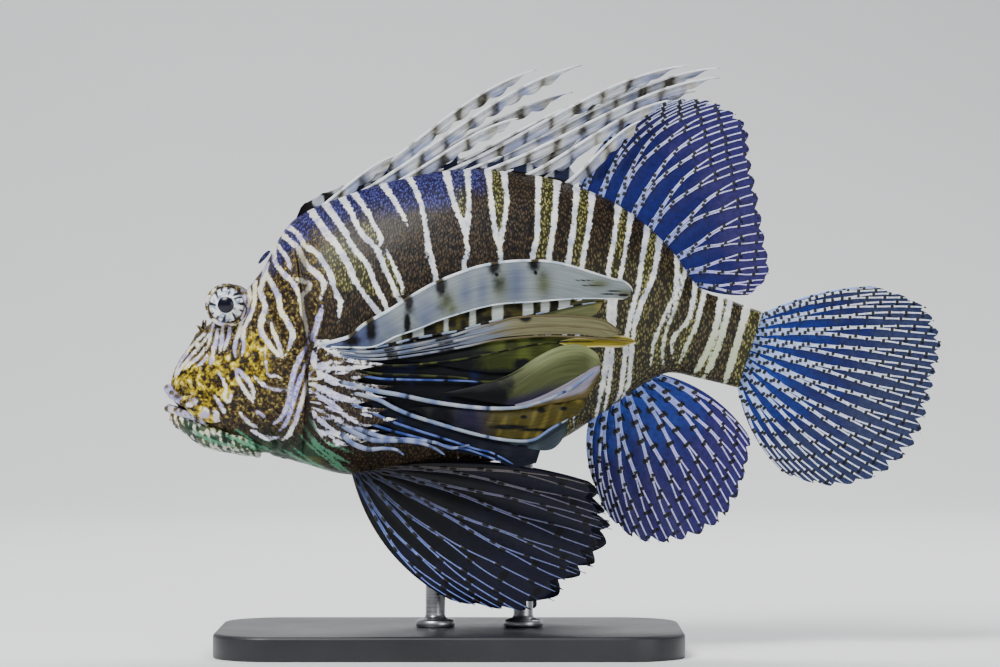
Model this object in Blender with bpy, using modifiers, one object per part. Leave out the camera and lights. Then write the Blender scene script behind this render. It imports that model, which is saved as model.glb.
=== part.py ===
"""A red lionfish at life size, as a still museum model held by two rods over a flat base.

The fish faces -X with its left side towards -Y, and +Z is up. The origin is the middle of the base's
underside. Sizes are written in millimetres, and MM turns them to metres as a mesh is made.
"""

import math

import bmesh
import bpy
import numpy as np

MM = 0.001
GAP = 0.3
ROOT_DEPTH = 2.5

# Matched stations from the snout to the end of the tail stalk: the back, the belly and the half width.
BACK = [(-115, 108), (-113.5, 114), (-107.5, 124), (-100, 133), (-88.5, 142.5), (-77, 156.5), (-65, 176),
        (-45, 186), (-20.5, 193.5), (4, 197.5), (28.5, 196), (51, 191), (72, 181), (89.5, 166), (102.5, 149),
        (115, 144), (128.5, 139)]
BELLY = [(-114.5, 104.5), (-111, 99), (-103.5, 92), (-94, 86), (-84, 82.5), (-73, 80.5), (-60.5, 77),
         (-43, 72.5), (-20.5, 72), (3.5, 75), (25.5, 80), (45, 86.5), (63, 98), (78, 108.5), (89.5, 114),
         (103.5, 111.5), (118, 108)]
HALF_WIDTH = [2.5, 7.5, 13, 16.8, 19.8, 22.4, 24.6, 27, 28.5, 28, 25.8, 22, 17.4, 13.2, 10.2, 7.6, 5.4]
WIDEST = [0.5, 0.55, 0.6, 0.62, 0.61, 0.58, 0.56, 0.55, 0.53, 0.52, 0.5, 0.5, 0.5, 0.5, 0.5, 0.5, 0.5]
BACK_SHARPNESS = [0.8, 0.8, 0.85, 0.9, 1, 1.15, 1.25, 1.25, 1.2, 1.15, 1.15, 1.1, 1.1, 1, 0.9, 0.85, 0.8]
BELLY_SHARPNESS = [0.8, 0.8, 0.8, 0.8, 0.8, 0.85, 0.9, 0.95, 1, 1, 1, 1, 1, 0.95, 0.9, 0.85, 0.8]
GILL, STALK, TAIL_END = 6.0, 13.2, 16.0
GILL_BOW = 0.27
GILL_LIFT, GILL_SINK = 1.4, 1.0

# The fish bends a little away from its left side: this far at the snout and at the tail fin's tip.
SWAY_HEAD, SWAY_TAIL = 5.0, 13.0
SNOUT_X, NAPE_X, LOIN_X, TAIL_X = -115.0, -20.0, 20.0, 203.0

EYE = (-90.6, 13.0, 141.8)
EYE_RADIUS = 8.0
ORBIT = (-90.2, 11.5, 141.4)
ORBIT_RADIUS = 8.8

BASE_SIZE = (190.0, 104.0, 10.0)
ROD_RADIUS = 4.0
ROD_PLACES = (-6.0, 30.0)


def along(values, place):
    """A smooth curve through the values (Catmull-Rom), at places counted in steps between them."""
    values = np.asarray(values, float).reshape(len(values), -1)
    last = len(values) - 1
    place = np.clip(place, 0, last - 1e-9)
    step = np.floor(place).astype(int)
    part = (place - step)[..., None]
    a, b, c, d = (values[np.clip(step + k, 0, last)] for k in (-1, 0, 1, 2))
    curve = 2 * b + (c - a) * part + (2 * a - 5 * b + 4 * c - d) * part**2
    return 0.5 * (curve + (3 * (b - c) + d - a) * part**3)


def spread(points, count, start=0.0, end=1.0):
    """Evenly counted places on the smooth curve through the points."""
    return along(points, np.linspace(start, end, count) * (len(points) - 1))


def ease(x):
    """A smooth step from 0 to 1."""
    x = np.clip(x, 0, 1)
    return x * x * (3 - 2 * x)


def sway(x):
    """How far the spine bends sideways at x: a square law out of the straight middle."""
    tail = np.clip((x - LOIN_X) / (TAIL_X - LOIN_X), 0, None)
    head = np.clip((x - NAPE_X) / (SNOUT_X - NAPE_X), 0, None)
    return SWAY_TAIL * tail**2 + SWAY_HEAD * head**2


def skin(station, turn):
    """The body's surface. turn goes from the back (0) down the left flank to the belly (pi) and up the
    right."""
    station, turn = np.broadcast_arrays(np.asarray(station, float), np.asarray(turn, float))
    back, belly = along(BACK, station), along(BELLY, station)
    half, widest, upper, lower = (
        along(v, station)[..., 0] for v in (HALF_WIDTH, WIDEST, BACK_SHARPNESS, BELLY_SHARPNESS)
    )
    fall, side = np.cos(turn), np.abs(np.sin(turn))
    depth = np.where(fall > 0, widest * (1 - fall), widest - (1 - widest) * fall)
    out = half * side ** np.where(fall > 0, upper, lower)
    edge = gill_edge(turn)
    lift = GILL_LIFT * ease((station - edge + 0.9) / 0.9) * (station <= edge)
    sink = GILL_SINK * (1 - ease((station - edge) / 0.6)) * (station > edge)
    out = out + (lift - sink) * side
    middle = back + (belly - back) * depth[..., None]
    return np.stack([middle[..., 0], -np.sign(np.sin(turn)) * out, middle[..., 1]], -1)


def gill_edge(turn):
    """The gill cover's rear edge, bowed towards the tail at mid height."""
    return GILL + GILL_BOW * np.sin(turn) ** 2


FLANK = skin(np.linspace(0, TAIL_END, 321)[:, None], np.linspace(0.02, math.pi - 0.02, 161)[None, :])
FLANK = FLANK.reshape(-1, 3)


def flank(x, z):
    """The body's half width at a place on its side, from the nearest point of a fine grid of the skin."""
    near = np.argmin((FLANK[:, 0] - x) ** 2 + (FLANK[:, 2] - z) ** 2)
    return -FLANK[near, 1]


def new_object(name, points, faces):
    """A mesh from points in millimetres, bent by the sway, with its faces turned outwards."""
    points = np.array(points, float)
    points[:, 1] += sway(points[:, 0])
    mesh = bpy.data.meshes.new(name)
    mesh.from_pydata((points * MM).tolist(), [], faces)
    obj = bpy.data.objects.new(name, mesh)
    bpy.context.scene.collection.objects.link(obj)
    return obj


def face_out(obj):
    """Recalculates the normals of a closed mesh."""
    mesh = bmesh.new()
    mesh.from_mesh(obj.data)
    bmesh.ops.recalc_face_normals(mesh, faces=mesh.faces)
    mesh.to_mesh(obj.data)
    mesh.free()
    return obj


def apply_modifiers(obj):
    """Replaces the object's mesh by what its modifiers make of it."""
    graph = bpy.context.evaluated_depsgraph_get()
    obj.data = bpy.data.meshes.new_from_object(obj.evaluated_get(graph))
    obj.modifiers.clear()
    return obj


def remove(obj):
    bpy.data.objects.remove(obj)


def loft(name, rings):
    """A closed skin through rings that start at the back. Strips across the body, side to side, close both
    ends."""
    rows, ring, _ = rings.shape
    faces = []
    for i in range(rows - 1):
        for j in range(ring):
            a, b = i * ring + j, i * ring + (j + 1) % ring
            faces.append((a, b, b + ring, a + ring))
    for first in (0, (rows - 1) * ring):
        for j in range(ring // 2):
            corners = (j, j + 1, (ring - j - 1) % ring, (ring - j) % ring)
            faces.append([first + k for k in dict.fromkeys(corners)])
    return face_out(new_object(name, rings.reshape(-1, 3), faces))


def sheet(name, points, thickness):
    """A thin form: an open surface of triangles that Solidify thickens, so that both faces split alike."""
    rows, columns, _ = points.shape
    faces = []
    for i in range(rows - 1):
        for j in range(columns - 1):
            a = i * columns + j
            faces += [(a, a + 1, a + columns + 1), (a, a + columns + 1, a + columns)]
    obj = new_object(name, points.reshape(-1, 3), faces)
    thickness = np.broadcast_to(thickness, (rows, columns)).ravel()
    group = obj.vertex_groups.new(name="thickness")
    for index, value in enumerate(thickness):
        group.add([index], value / thickness.max(), "REPLACE")
    wall = obj.modifiers.new("thickness", "SOLIDIFY")
    wall.thickness = thickness.max() * MM
    wall.offset = 0
    wall.vertex_group = group.name
    return face_out(apply_modifiers(obj))


def tube(name, path, radii, sides=6):
    """A closed tube along a path, with its own radius at each point and flat ends."""
    path = np.asarray(path, float)
    run = np.gradient(path, axis=0)
    run /= np.linalg.norm(run, axis=1, keepdims=True)
    across = np.cross(run, (0.0, 0.3, 1.0))
    across /= np.linalg.norm(across, axis=1, keepdims=True)
    up = np.cross(across, run)
    turn = np.linspace(0, 2 * math.pi, sides, endpoint=False)[None, :, None]
    radii = np.broadcast_to(radii, len(path))[:, None, None]
    rings = path[:, None] + radii * (np.cos(turn) * across[:, None] + np.sin(turn) * up[:, None])
    faces = []
    for i in range(len(path) - 1):
        for j in range(sides):
            a, b = i * sides + j, i * sides + (j + 1) % sides
            faces.append((a, b, b + sides, a + sides))
    faces += [list(range(sides)), list(range((len(path) - 1) * sides, len(path) * sides))]
    return face_out(new_object(name, rings.reshape(-1, 3), faces))


def ball(name, centre, sizes, tilt=0.0, segments=16, rings=10):
    """An ellipsoid of three half sizes, tilted in the side view."""
    turn = np.linspace(0, 2 * math.pi, segments, endpoint=False)
    mesh = bmesh.new()
    bmesh.ops.create_uvsphere(mesh, u_segments=segments, v_segments=rings, radius=1)
    points = np.array([v.co for v in mesh.verts]) * sizes
    faces = [[v.index for v in f.verts] for f in mesh.faces]
    mesh.free()
    c, s = math.cos(tilt), math.sin(tilt)
    x, z = points[:, 0] * c - points[:, 2] * s, points[:, 0] * s + points[:, 2] * c
    return face_out(new_object(name, np.stack([x, points[:, 1], z], -1) + centre, faces))


def grown(obj, by=GAP):
    """A copy of a closed form, moved out along its normals: a cutter that leaves the gap."""
    copy = obj.copy()
    copy.data = obj.data.copy()
    bpy.context.scene.collection.objects.link(copy)
    count = len(copy.data.vertices)
    points, normals = np.empty(count * 3), np.empty(count * 3)
    copy.data.vertices.foreach_get("co", points)
    copy.data.vertices.foreach_get("normal", normals)
    copy.data.vertices.foreach_set("co", points + normals * by * MM)
    copy.name = "cutter"
    return copy


def keep_largest(obj):
    """Drops every loose closed surface but the one with the largest volume."""
    mesh = bmesh.new()
    mesh.from_mesh(obj.data)
    bmesh.ops.triangulate(mesh, faces=mesh.faces)
    left, islands = set(mesh.faces), []
    while left:
        island, border = set(), [left.pop()]
        while border:
            face = border.pop()
            island.add(face)
            for edge in face.edges:
                for other in edge.link_faces if len(edge.link_faces) == 2 else ():
                    if other in left:
                        left.discard(other)
                        border.append(other)
        islands.append(island)

    def volume(faces):
        return sum(f.verts[0].co.dot(f.verts[1].co.cross(f.verts[2].co)) for f in faces) / 6

    islands.sort(key=volume, reverse=True)
    loose = [f for island in islands[1:] for f in island]
    bmesh.ops.delete(mesh, geom=loose, context="FACES")
    mesh.to_mesh(obj.data)
    mesh.free()
    return obj


def boolean(obj, others, operation, solver="MANIFOLD"):
    """One Boolean with a collection of closed meshes, applied, after which the collection is removed."""
    group = bpy.data.collections.new("operands")
    bpy.context.scene.collection.children.link(group)
    for other in others:
        bpy.context.scene.collection.objects.unlink(other)
        group.objects.link(other)
    step = obj.modifiers.new(operation, "BOOLEAN")
    step.operation = operation
    step.solver = solver
    step.operand_type = "COLLECTION"
    step.collection = group
    apply_modifiers(obj)
    for other in others:
        remove(other)
    bpy.data.collections.remove(group)
    return keep_largest(obj)


def fuse(name, pieces):
    """Joins overlapping closed pieces to one body."""
    first = pieces[0]
    first.name = name
    return boolean(first, pieces[1:], "UNION") if len(pieces) > 1 else first


def clear_of(obj, *neighbours):
    """Cuts a form back from its neighbours, leaving the gap."""
    return boolean(obj, [grown(n) for n in neighbours], "DIFFERENCE")


def finish(obj, colour, roughness, metallic=0.0):
    """Gives the node its material and smooth shading with sharp creases."""
    material = bpy.data.materials.new(obj.name)
    material.use_nodes = True
    shader = material.node_tree.nodes["Principled BSDF"]
    shader.inputs["Base Color"].default_value = (*colour, 1)
    shader.inputs["Roughness"].default_value = roughness
    shader.inputs["Metallic"].default_value = metallic
    obj.data.materials.clear()
    obj.data.materials.append(material)
    obj.data.shade_smooth()
    obj.data.set_sharp_from_angle(angle=math.radians(40))
    return obj


SKIN_COLOUR = (0.16, 0.11, 0.07)
FIN_COLOUR = (0.12, 0.12, 0.3)
STRIPE_COLOUR = (0.75, 0.77, 0.8)


def body_length(name, start, end, rows, ring):
    """One length of the body. start and end are stations that may bow with the turn."""
    turn = np.linspace(0, 2 * math.pi, ring, endpoint=False)[None, :]
    share = np.linspace(0, 1, rows)[:, None]
    return loft(name, skin(start(turn) + (end(turn) - start(turn)) * share, turn))


def trunk():
    return body_length("trunk", lambda t: gill_edge(t) + 0.016, lambda t: STALK - 0.01 + 0 * t, 15, 28)


def tail_stalk():
    return body_length("tail_stalk", lambda t: STALK + 0.01 + 0 * t, lambda t: TAIL_END + 0 * t, 5, 20)


def both_sides(make):
    """The same piece on the left (-1) and on the right (1)."""
    return [make(side) for side in (-1, 1)]


# The mouth: the lip's and the jaw's path from the front to the corner, and how far the lips part.
UPPER_LIP = [(-115.5, 0, 107.5), (-114, 4.5, 105.8), (-110.5, 9, 103.5), (-106, 12, 101), (-100, 14.5, 98.5)]
LIP_RADIUS = 2.1
JAW_TOP = [(-116, 100.5), (-110.5, 98.8), (-102.5, 96.5), (-92, 92), (-80, 88)]
JAW_CHIN = [(-115.3, 94.5), (-110, 89.8), (-102.5, 84.6), (-92, 81.6), (-78, 79.6)]
JAW_HALF = [3.4, 10.5, 14.2, 16.2, 15]


def jaw():
    """The lower jaw: a boat-shaped loft from the chin back to the throat."""
    ring = np.linspace(0, 2 * math.pi, 16, endpoint=False)[None, :]
    place = np.linspace(0, 4, 9)[:, None] * np.ones_like(ring)
    top, chin, half = along(JAW_TOP, place), along(JAW_CHIN, place), along(JAW_HALF, place)[..., 0]
    depth = (1 - np.cos(ring)) / 2 + 0 * place
    middle = top + (chin - top) * depth[..., None]
    out = half * np.abs(np.sin(ring)) ** 0.6
    return loft("jaw", np.stack([middle[..., 0], -np.sign(np.sin(ring)) * out, middle[..., 1]], -1))


def upper_lip():
    """A rounded lip round the front of the mouth, from corner to corner."""
    half = np.array(UPPER_LIP, float)
    path = np.concatenate([half[:0:-1], half * (1, -1, 1)])
    return tube("lip", spread(path, 15), LIP_RADIUS, sides=6)


def maxilla(side):
    """The plate at the corner of the mouth, widening to its rear end."""
    return ball("maxilla", (-100.5, side * 15.3, 99.5), (9, 2.0, 4.2), tilt=-0.5, segments=10, rings=6)


def cheek_ridge(side):
    """The bony ridge over the cheek, from the snout to the gill cover."""
    places = [(-108, 110.5), (-100, 113), (-91, 116), (-82, 119), (-74, 120), (-68, 119)]
    path = [(x, side * (flank(x, z) + 0.2), z) for x, z in places]
    return tube("ridge", path, [1.4, 2.1, 2.4, 2.6, 2.2, 0.8])


def orbit(side):
    """The mound of skin that carries the eye, with its rim."""
    x, y, z = ORBIT
    return ball("orbit", (x, side * y, z), [ORBIT_RADIUS] * 3, segments=14, rings=9)


def lid(side):
    """The raised ring of skin round the eye."""
    x, y, z = EYE
    turn = np.linspace(0, 2 * math.pi, 15)
    radius, out, rim = 8.0, 15.7, 0.9
    path = np.stack([x + radius * np.cos(turn), side * out + 0 * turn, z + radius * np.sin(turn)], -1)
    rings = []
    for a in np.linspace(0, 2 * math.pi, 5, endpoint=False):
        spoke, rise = rim * math.cos(a), rim * math.sin(a)
        rings.append(path + np.stack([spoke * np.cos(turn), 0 * turn + rise, spoke * np.sin(turn)], -1))
    rings = np.array(rings)[:, :-1]
    count = rings.shape[1]
    faces = []
    for i in range(5):
        for j in range(count):
            k, n = (j + 1) % count, (i + 1) % 5
            faces.append((i * count + j, i * count + k, n * count + k, n * count + j))
    return face_out(new_object("lid", rings.reshape(-1, 3), faces))


def spike(name, root, tip, radius, sides=5):
    """A short tapered point, its root sunk into what it grows from."""
    path = np.linspace(root, tip, 3)
    return tube(name, path, radius * np.array([1, 0.75, 0.25]), sides=sides)


# Points and skin flaps of the head on one side: root and tip in side view, and radius.
HEAD_POINTS = [((-66, 119.5), (-60.5, 120.5), 1.3), ((-70, 110), (-63.5, 107.5), 1.5),
               ((-73, 99), (-67, 95.5), 1.5), ((-76, 90.5), (-69.5, 87), 1.4),
               ((-84, 151.5), (-78.5, 156), 1.2), ((-100, 129), (-104, 133.5), 1.0)]


def head_points(side):
    made = []
    for (x, z), (x2, z2), radius in HEAD_POINTS:
        root = (x, side * (flank(x, z) - 1.2), z)
        tip = (x2, side * (flank(x2, z2) + 1.8), z2)
        made.append(spike("point", root, tip, radius))
    return made


def nostril(side):
    """A short open tube of skin in front of the eye."""
    x, z = -101.5, 124.5
    y = side * (flank(x, z) - 0.6)
    return tube("nostril", [(x, y, z), (x - 1.5, y + side * 2.2, z + 1.2)], [1.5, 1.3], sides=8)


def nostril_hole(side):
    x, z = -101.5, 124.5
    y = side * (flank(x, z) - 0.6)
    return tube("hole", [(x - 0.8, y + side * 1.0, z + 0.6), (x - 2.5, y + side * 3.6, z + 2)], [0.7, 0.7])


def head(lower_jaw):
    """The head: skin, lips, plates, ridges, orbits and points as one body, cut for the jaw, eyes and
    nostrils."""
    main = body_length("head", lambda t: 0 * t, lambda t: gill_edge(t) - 0.001, 15, 28)
    pieces = [main, upper_lip()]
    for make in (orbit, lid, maxilla, cheek_ridge, nostril):
        pieces += both_sides(make)
    for side in (-1, 1):
        pieces += head_points(side)
    whole = fuse("head", pieces)
    sockets = both_sides(lambda side: eyeball(side, EYE_RADIUS + GAP))
    holes = both_sides(nostril_hole)
    return boolean(whole, [grown(lower_jaw), *sockets, *holes], "DIFFERENCE")


def eyeball(side, radius=EYE_RADIUS):
    x, y, z = EYE
    name = "eye_left" if side < 0 else "eye_right"
    return ball(name, (x, side * y, z), [radius] * 3, segments=14, rings=8)


# Fin membranes and rays.
MEMBRANE = 0.55
RAY_COLUMNS = 4
ROOT_THICKNESS = 1.2


def fan(name, base, margin, rays, rows, bow, ray=1.4, belly=0.0, wave=(0.0, 1.0, 0.0), split=0.5):
    """A fin of rays from a base line to its margin.

    Four columns carry each ray: its stem runs on the third up to the split, and its two branches run on the
    second and the fourth from there. bow bends the rays in the side view as a share of their length, from
    the first to the last, and wave (size, count, phase) ripples the fin sideways.
    """
    columns = RAY_COLUMNS * rays + 1
    v = np.linspace(0, 1, columns)
    root, tip = spread(base, columns), spread(margin, columns)
    chord = tip - root
    length = np.linalg.norm(chord, axis=1)
    normal = np.stack([-chord[:, 2], 0 * v, chord[:, 0]], -1)
    bend = np.interp(v, np.linspace(0, 1, len(bow)), bow)
    kind = np.arange(columns) % RAY_COLUMNS
    reach = np.where(kind == 0, 0.965, 1.0)
    u = np.linspace(0, 1, rows)[:, None] * reach
    u[0] = -ROOT_DEPTH / length
    curve = 4 * u * (1 - u)
    points = root + chord * u[..., None] + normal * (bend * curve)[..., None]
    ripple = wave[0] * np.sin(2 * math.pi * wave[1] * v + wave[2])
    points[..., 1] += belly * curve + ripple * np.clip(u, 0, 1) ** 1.5
    stem = (kind == 2) * (1 - ease((u - split) / 0.15 + 0.5))
    branch = (kind % 2 == 1) * ease((u - split) / 0.15 + 0.5)
    risen = ease((u - 0.04) / 0.12)
    ridge = (ray - MEMBRANE) * (1 - 0.55 * np.clip(u, 0, 1)) * (stem + branch * 0.85) * risen
    return sheet(name, points, MEMBRANE + ridge + (ROOT_THICKNESS - MEMBRANE) * (1 - risen))


def flat(points):
    """Side-view points as places in the fish's middle plane."""
    return [(x, 0.0, z) for x, z in points]


SOFT_DORSAL_BASE = flat([(53, 190), (64, 185.5), (76, 178), (88, 167.5), (96, 157), (103.5, 148.5)])
SOFT_DORSAL_MARGIN = flat([(89, 226), (101.5, 227), (112, 224.5), (122.5, 216), (124, 203), (127, 188),
                           (130, 170), (131.5, 155), (124, 146.5)])
TAIL_BASE = flat([(128.5, 138), (126, 130.5), (123.3, 123), (120.8, 115.5), (118.3, 108.5)])
TAIL_MARGIN = flat([(177, 149.5), (196, 142), (203.5, 128), (201.5, 114), (199, 100), (193, 84), (178, 71.5),
                    (157, 67), (138, 72)])
ANAL_BASE = flat([(57.5, 94.5), (65, 99.5), (73, 105), (80.5, 110), (87, 113.5)])
ANAL_MARGIN = flat([(59.5, 69), (65, 55.5), (77, 45), (92, 44), (106.5, 48.5), (117, 59), (122, 74),
                    (124, 86)])


def soft_dorsal():
    bows = (0.12, 0.15, 0.12, 0.05, -0.06)
    return fan("fin_dorsal_soft", SOFT_DORSAL_BASE, SOFT_DORSAL_MARGIN, 9, 7, bows, wave=(2.0, 1.5, 0.4))


def tail_fin():
    return fan("fin_tail", TAIL_BASE, TAIL_MARGIN, 10, 7, (0.06, 0.02, -0.02, -0.05, -0.09), ray=1.6,
               wave=(3.0, 2.0, 0.8))


def anal_fin():
    return fan("fin_anal", ANAL_BASE, ANAL_MARGIN, 7, 7, (-0.08, -0.08, -0.02, 0.05, 0.1), ray=1.5,
               wave=(2.0, 1.5, 2.0))


PELVIC_BASE = [(-40, 6, 74.5), (-34.5, 7.5, 74.8), (-28.5, 9, 75.6)]
PELVIC_MARGIN = [(3.5, 15, 21), (20, 18, 18.4), (35, 21, 18.6), (49, 23, 30), (58, 24, 38), (63.5, 23, 50),
                 (61, 22, 59), (57, 21, 70)]
PELVIC_BOW = (-0.12, -0.06, -0.02, 0.02, 0.06)
FAR_PELVIC_SHIFT = (4.5, 2.0, -2.6)


def pelvic_fin(side):
    """A pelvic fin. The right one hangs a little lower and further back."""
    margin = np.array(PELVIC_MARGIN)
    if side > 0:
        margin += FAR_PELVIC_SHIFT
    mirror = np.array((1, side, 1))
    name = "fin_pelvic_left" if side < 0 else "fin_pelvic_right"
    return fan(name, np.array(PELVIC_BASE) * mirror, margin * mirror, 5, 7, PELVIC_BOW, ray=1.5,
               belly=side * 3.0, wave=(side * 2.0, 1.2, 0.6))


def streamer(name, path, width, lead=1.5, tilt=0.0, columns=(0, 0.34, 1), start=0.0):
    """A single ray with its vane: a strip whose front edge is the thick ray and whose rear edge is thin."""
    rows = len(path)
    u = np.linspace(start, 1, rows)
    run = np.gradient(path, axis=0)
    run /= np.linalg.norm(run, axis=1, keepdims=True)
    behind = np.stack([run[:, 2], tilt + 0 * u, -run[:, 0]], -1)
    across = np.array(columns)
    points = path[:, None] + behind[:, None] * (width(u)[:, None] * across)[..., None]
    edge = np.array([1.0, 0.55, 0.0])[: len(columns)]
    thickness = 0.5 + (lead - 0.5) * (1 - 0.7 * u)[:, None] * edge
    return sheet(name, points, thickness)


def bezier(a, b, c, d, u):
    u = u[:, None]
    return (1 - u) ** 3 * a + 3 * u * (1 - u) ** 2 * b + 3 * u * u * (1 - u) * c + u**3 * d


# The thirteen dorsal spines: where the tip is in side view, and how far it leans to a side.
SPINE_TIPS = [(-21, 203.5, -2), (35.5, 238.5, 1), (54, 240, -3), (50.5, 229.5, 4), (28, 218, -6),
              (82, 232.5, 3), (97, 240, -2), (111, 239.5, 2), (110.5, 235, -5), (101, 230, 6), (90, 225.5, -7),
              (71, 226, 5), (78, 217, -9)]
FIRST_SPINE, LAST_SPINE = 6.12, 10.75
SPINE_VANE = 4.2
SPINE_ROWS = 6


def spine_path(station, tip, rows):
    """From under the skin of the back, low at first, then up and over at the tip."""
    x, z = along(BACK, np.array(station))
    root = np.array([x, 0, z - ROOT_DEPTH])
    tip = np.array([tip[0], tip[2], tip[1]])
    chord = tip - root
    length, angle = np.linalg.norm(chord), math.atan2(chord[2], chord[0])
    first = length * 0.33 * np.array([math.cos(angle - 0.08), 0, math.sin(angle - 0.08)])
    last = length * 0.3 * np.array([math.cos(angle - 0.32), 0, math.sin(angle - 0.32)])
    end = tip - last
    first[1] = tip[1] * 0.2
    end[1] = tip[1] * 0.75
    return bezier(root, root + first, end, tip, np.linspace(0, 1, rows))


def vane_width(u):
    """The spine's vane: narrow at the root, full from a third on, drawn in at the tip."""
    return SPINE_VANE * (0.3 + 0.7 * ease(u / 0.35)) * (1 - 0.72 * ease((u - 0.8) / 0.2))


def spiny_dorsal():
    """The spines with their vanes, joined low down by the web of skin that runs along the back."""
    stations = np.linspace(FIRST_SPINE, LAST_SPINE, len(SPINE_TIPS))
    pieces = []
    along_back = np.linspace(FIRST_SPINE - 0.08, LAST_SPINE + 0.1, 27)
    x, z = along(BACK, along_back).T
    heights = np.array([-ROOT_DEPTH, 1.2, 4.4])[:, None] * np.array([1, 1, 1])[:, None]
    heights = heights + np.array([0, 0, 0.9])[:, None] * np.sin(np.arange(27) * math.pi)
    lean = np.array([0, 0.8, 3.2])[:, None]
    web = np.stack([x + lean, 0 * x + 0 * lean, z + heights], -1)
    pieces.append(sheet("web", web, np.array([1.6, 1.3, 0.6])[:, None] * np.ones_like(x)))
    for station, tip in zip(stations, SPINE_TIPS):
        pieces.append(streamer("spine", spine_path(station, tip, SPINE_ROWS), vane_width, lead=1.7))
    return fuse("fin_dorsal_spines", pieces)


# The pectoral fin's rays, from the top down: the tip in side view, the bow and the vane's width.
PECTORAL_ROOT = [(-52.5, 125.5), (-55, 115.5), (-55, 105.5), (-52, 95.5), (-45, 86)]
PECTORAL_RAYS = [(73, 147.5, 0.165, 16.5), (63, 142, 0.12, 8), (68, 131.5, 0.085, 9), (75, 127.5, 0.05, 6),
                 (61, 124, 0.045, 12), (60, 117.5, -0.03, 13), (59, 115.5, -0.11, 10), (48, 96.5, -0.09, 10),
                 (38.5, 87, -0.07, 6.5), (26, 78, -0.03, 5), (18, 81.5, -0.01, 4), (8.5, 85, 0.0, 3.4),
                 (-1.5, 81.5, 0.0, 3.2), (-18, 81, 0.0, 3)]
PECTORAL_SINK = 2.5
WEB_REACH = 0.46
FREE_FROM = 0.36


def pectoral_paths(rows, start, end):
    """Every ray's path from start to end, as a grid of rows by rays. The fin stands out from the flank as it
    goes back, and each ray lies a little further out than the one above it."""
    count = len(PECTORAL_RAYS)
    u = np.linspace(start, end, rows)[:, None]
    roots = spread(PECTORAL_ROOT, count)
    inner = np.array([flank(x, z) for x, z in roots]) - PECTORAL_SINK
    tips = np.array([ray[:2] for ray in PECTORAL_RAYS], float)
    bows = np.array([ray[2] for ray in PECTORAL_RAYS])
    chord = tips - roots
    normal = np.stack([-chord[:, 1], chord[:, 0]], -1)
    curve = 4 * u * (1 - u)
    flat_path = roots + chord * u[..., None] + normal * (bows * curve)[..., None]
    order = np.arange(count)
    middle, outer = 45 + 1.25 * order, 33 + 1.0 * order
    out = inner * (1 - u) ** 2 + 2 * u * (1 - u) * middle + outer * u**2
    return np.stack([flat_path[..., 0], out, flat_path[..., 1]], -1)


def pectoral_fin(side):
    """The near-horizontal fan of rays folded back along the flank, webbed near the root and free beyond."""
    mirror = np.array((1, side, 1))
    rays = pectoral_paths(4, 0.0, WEB_REACH)
    count = rays.shape[1]
    web = np.repeat(rays, 2, axis=1)[:, :-1]
    web[:, 1::2] = (rays[:, :-1] + rays[:, 1:]) / 2
    depth = np.linspace(0, 1, 4)[:, None]
    web[:, 1::2, 1] -= 0.7 * depth
    web[-1, 1::2] += (web[-2, 1::2] - web[-1, 1::2]) * 0.35
    thick = 0.6 + (1 - ease(depth * 2)) * 2.6 + (np.arange(2 * count - 1) % 2 == 0) * (0.8 - 0.3 * depth)
    pieces = [sheet("web", web * mirror, thick)]
    paths = pectoral_paths(6, FREE_FROM, 1.0)
    for index, (_, _, _, full) in enumerate(PECTORAL_RAYS):
        def width(u, full=full):
            return full * (0.35 + 0.65 * ease((u - 0.35) / 0.3)) * (1 - 0.8 * ease((u - 0.72) / 0.28))
        strip = streamer("ray", paths[:, index] * mirror, width, lead=1.9, tilt=-side * 0.1, start=FREE_FROM)
        pieces.append(strip)
    return fuse("fin_pectoral_left" if side < 0 else "fin_pectoral_right", pieces)


def stand_base():
    """A flat base with rounded corners and a softened top edge."""
    length, width, height = (size * MM for size in BASE_SIZE)
    mesh = bpy.data.meshes.new("stand_base")
    solid = bmesh.new()
    bmesh.ops.create_cube(solid, size=1)
    bmesh.ops.scale(solid, vec=(length, width, height), verts=solid.verts)
    bmesh.ops.translate(solid, vec=(0, 0, height / 2), verts=solid.verts)
    upright = [e for e in solid.edges if abs(e.verts[0].co.z - e.verts[1].co.z) > height / 2]
    bmesh.ops.bevel(solid, geom=upright, offset=24 * MM, segments=5, profile=0.5, affect="EDGES")
    top = [e for e in solid.edges if min(v.co.z for v in e.verts) > height * 0.9]
    bmesh.ops.bevel(solid, geom=top, offset=1.6 * MM, segments=2, profile=0.5, affect="EDGES")
    solid.to_mesh(mesh)
    solid.free()
    obj = bpy.data.objects.new("stand_base", mesh)
    bpy.context.scene.collection.objects.link(obj)
    return obj


def stand_rod(name, x, neighbour):
    """A rod from the base up to the belly, its top cut to the skin above it."""
    low, high = BASE_SIZE[2] + GAP, 92
    mesh = bpy.data.meshes.new(name)
    solid = bmesh.new()
    radius = ROD_RADIUS * MM
    bmesh.ops.create_cone(solid, cap_ends=True, segments=20, radius1=radius, radius2=radius,
                          depth=(high - low) * MM)
    bmesh.ops.translate(solid, vec=(x * MM, sway(x) * MM, (low + high) / 2 * MM), verts=solid.verts)
    solid.to_mesh(mesh)
    solid.free()
    obj = bpy.data.objects.new(name, mesh)
    bpy.context.scene.collection.objects.link(obj)
    return clear_of(obj, neighbour)


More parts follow.
